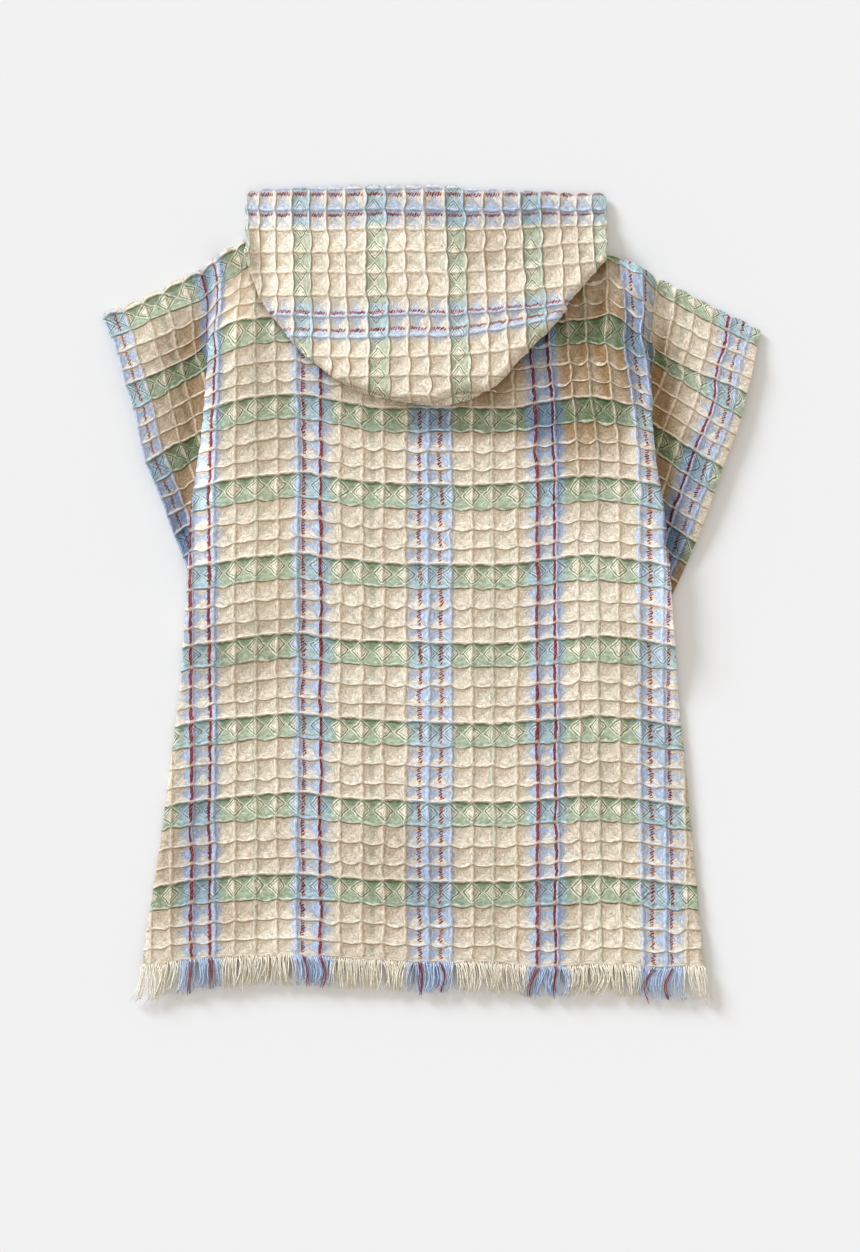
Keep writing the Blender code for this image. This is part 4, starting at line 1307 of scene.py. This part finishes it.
# ---------------------------------------------------------------- fringe
def fringe(name, back, seed):
    """Loose warp ends: they hang together in locks, and the ends part."""
    r = np.random.default_rng(seed)
    v = float(drop_of(HEM_T))
    w0, w1 = float(warp_at(-227.5, v)), float(warp_at(213.5, v))
    per_cell = 25 if back else 10
    count = int((w1 - w0) * per_cell)
    verts, faces, weave, thread = [], [], [], []
    reds = []
    sides, parts = 3, 6
    # Where one lock ends and the next begins, and how each lock hangs.
    locks = np.cumsum(r.uniform(0.35, 1.15, 90)) + w0
    leans, drops, bows = r.normal(0.4, 2.5, 91), r.uniform(-1.8, 1.3, 91), r.normal(0, 1.4, 91)
    starts = [(w0 + (w1 - w0) * (i + 0.5) / count, False) for i in range(count)]
    if back:
        starts += [(c + 0.045 * d, True) for row in LINES for c in row[:2] for d in (-1, 0, 1)]
    for i, (w, dyed) in enumerate(starts):
        w = w + r.uniform(-0.03, 0.03)
        if not w0 < w < w1:
            continue
        x0, y0 = (float(c) for c in body_xy(np.array(w), v))
        k = int(np.searchsorted(locks, w))
        centre = (locks[k - 1] + locks[k]) / 2 if 0 < k < len(locks) else w
        middle = (x0 + 6.7) / 220.3
        corner = min(1.0, abs(middle)) ** 6
        if not back and corner > 0.25:
            continue
        long = (22.0 if back else 19.0) + 4.5 * corner + drops[k] + r.uniform(-1.5, 1.0)
        long += 3.5 * (r.random() > 0.96) - 4.0 * (r.random() > 0.95)
        lean = leans[k] + (centre - w) * 12.3 * 0.34 + r.normal(0, 1.2)
        lean += 6.0 * corner * (1 if middle > 0 else -1)
        curl, part = bows[k] + r.normal(0, 0.9), r.normal(0, 1.4)
        phase = r.uniform(-0.5, 0.5)
        if dyed:
            lean, curl, part = leans[k] * 1.4, bows[k] * 1.5, 0.0
            long += 1.0
        high = (level(2) + 3.0) if back else level(1)
        tip = r.uniform(3.6, 6.2) if back else r.uniform(0.8, 1.6)
        width = 0.46 if dyed else r.uniform(0.32, 0.46)
        start = r.uniform(0.4, 2.4)
        base = len(verts)
        for j in range(parts + 1):
            f = j / parts
            x = x0 + lean * f**1.6 + curl * math.sin(math.pi * f) + part * max(0.0, f - 0.5) ** 1.5 * 4
            x += 0.45 * math.sin(6.0 * f + 5 * phase)
            y = y0 + start - (long + start) * f + 0.08 * abs(lean) * f**2
            z = high + (1.2 if dyed else 0.3) + (tip - high) * f**1.2 + (1.1 * math.sin(math.pi * f) if back else 0)
            z = max(z, 0.7)
            wide = width * (1.0 - 0.4 * f**3)
            for c in range(sides):
                ang = c * 2 * math.pi / sides + 1.6 * f + i
                verts.append(((x + wide * math.cos(ang)) * MM, y * MM, (z + 0.4 * math.sin(ang)) * MM))
                weave.append((round(w) + 0.11 * i, 0.3 * j + 0.37 * i, 1.0))
                thread.append((float(stripe_of(w + r.normal(0, 0.01))), 2.5, 0.0))
        new = []
        for j in range(parts):
            for c in range(sides):
                p, q = base + j * sides + c, base + j * sides + (c + 1) % sides
                new.append((p, p + sides, q + sides, q))
        new.append(tuple(base + c for c in range(sides)))
        new.append(tuple(base + parts * sides + c for c in reversed(range(sides))))
        faces += new
        reds += [dyed] * len(new)
    mesh = bpy.data.meshes.new(name)
    mesh.from_pydata(verts, [], faces)
    for label, data in (("weave", weave), ("thread", thread)):
        layer = mesh.attributes.new(label, "FLOAT_VECTOR", "POINT")
        layer.data.foreach_set("vector", np.array(data, np.float32).ravel())
    mesh.materials.append(cloth_threads)
    mesh.materials.append(red_thread)
    mesh.polygons.foreach_set("material_index", np.array(reds, np.int32))
    mesh.shade_smooth()
    obj = bpy.data.objects.new(name, mesh)
    bpy.context.scene.collection.objects.link(obj)
    print(f"{name}: {count} threads, {sum(len(f) - 2 for f in faces)} triangles")
    return obj


fringe_back = fringe("fringe_threads_back", True, 3)
fringe_front = fringe("fringe_threads_front", False, 8)

# ---------------------------------------------------------------- frame
pieces = {
    "back_panel": (back_panel, "waffle_body"),
    "front_panel": (front_panel, "waffle_body"),
    "hood_outer": (hood_outer, "waffle_hood"),
    "hood_under": (hood_under, "waffle_hood"),
    "hem_fringe_back": (fringe_back, "fringe"),
    "hem_fringe_front": (fringe_front, "fringe"),
}
for node, (piece, slot) in pieces.items():
    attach(piece, "root")
    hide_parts(node)
for piece in wings:
    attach(piece, "root")
    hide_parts("hood_outer")

# ---------------------------------------------------------------- stage
floor_mesh = bpy.data.meshes.new("floor")
F = 6.0
floor_mesh.from_pydata([(-F, -F, 0), (F, -F, 0), (F, F, 0), (-F, F, 0)], [], [(0, 1, 2, 3)])
floor = bpy.data.objects.new("floor", floor_mesh)
bpy.context.scene.collection.objects.link(floor)
paper = bpy.data.materials.new("floor_paper")
paper.use_nodes = True
paper.node_tree.nodes["Principled BSDF"].inputs["Base Color"].default_value = (0.80, 0.80, 0.80, 1)
paper.node_tree.nodes["Principled BSDF"].inputs["Roughness"].default_value = 0.95
paper.node_tree.nodes["Principled BSDF"].inputs["Specular IOR Level"].default_value = 0.1
floor_mesh.materials.append(paper)
floor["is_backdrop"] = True

scene = bpy.context.scene
scene.view_settings.view_transform = "Standard"
scene.view_settings.look = "None"
world = bpy.data.worlds.new("studio")
scene.world = world
world.use_nodes = True
world.node_tree.nodes["Background"].inputs["Color"].default_value = (1.04, 0.99, 0.92, 1)
world.node_tree.nodes["Background"].inputs["Strength"].default_value = 0.745


sun_data = bpy.data.lights.new("key", "SUN")
sun_data.energy, sun_data.angle = 3.40, math.radians(20)
sun_data.color = (0.889, 0.99, 1.131)
sun = bpy.data.objects.new("key", sun_data)
scene.collection.objects.link(sun)
# From the upper left and low, so that the ridges show.
toward = np.array([0.66, -0.62, -math.tan(math.radians(20)) * math.hypot(0.66, 0.62)])
toward /= np.linalg.norm(toward)
sun.rotation_euler = (math.acos(-toward[2]), 0, math.atan2(-toward[0], toward[1]))

camera_data = bpy.data.cameras.new("camera")
camera = bpy.data.objects.new("camera", camera_data)
scene.collection.objects.link(camera)
camera.location = (-0.0008, -0.0234, 3.2)
camera.rotation_euler = (0, 0, 0)
camera_data.sensor_fit = "VERTICAL"
camera_data.sensor_height = 36.0
camera_data.lens = 36.0 * 3.193 / 0.9766
camera_data.clip_start, camera_data.clip_end = 0.1, 50
scene.camera = camera

({"cad": json.loads(json.dumps(cad_size, default=list)),
     "scene": json.loads(json.dumps(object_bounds(), default=list))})
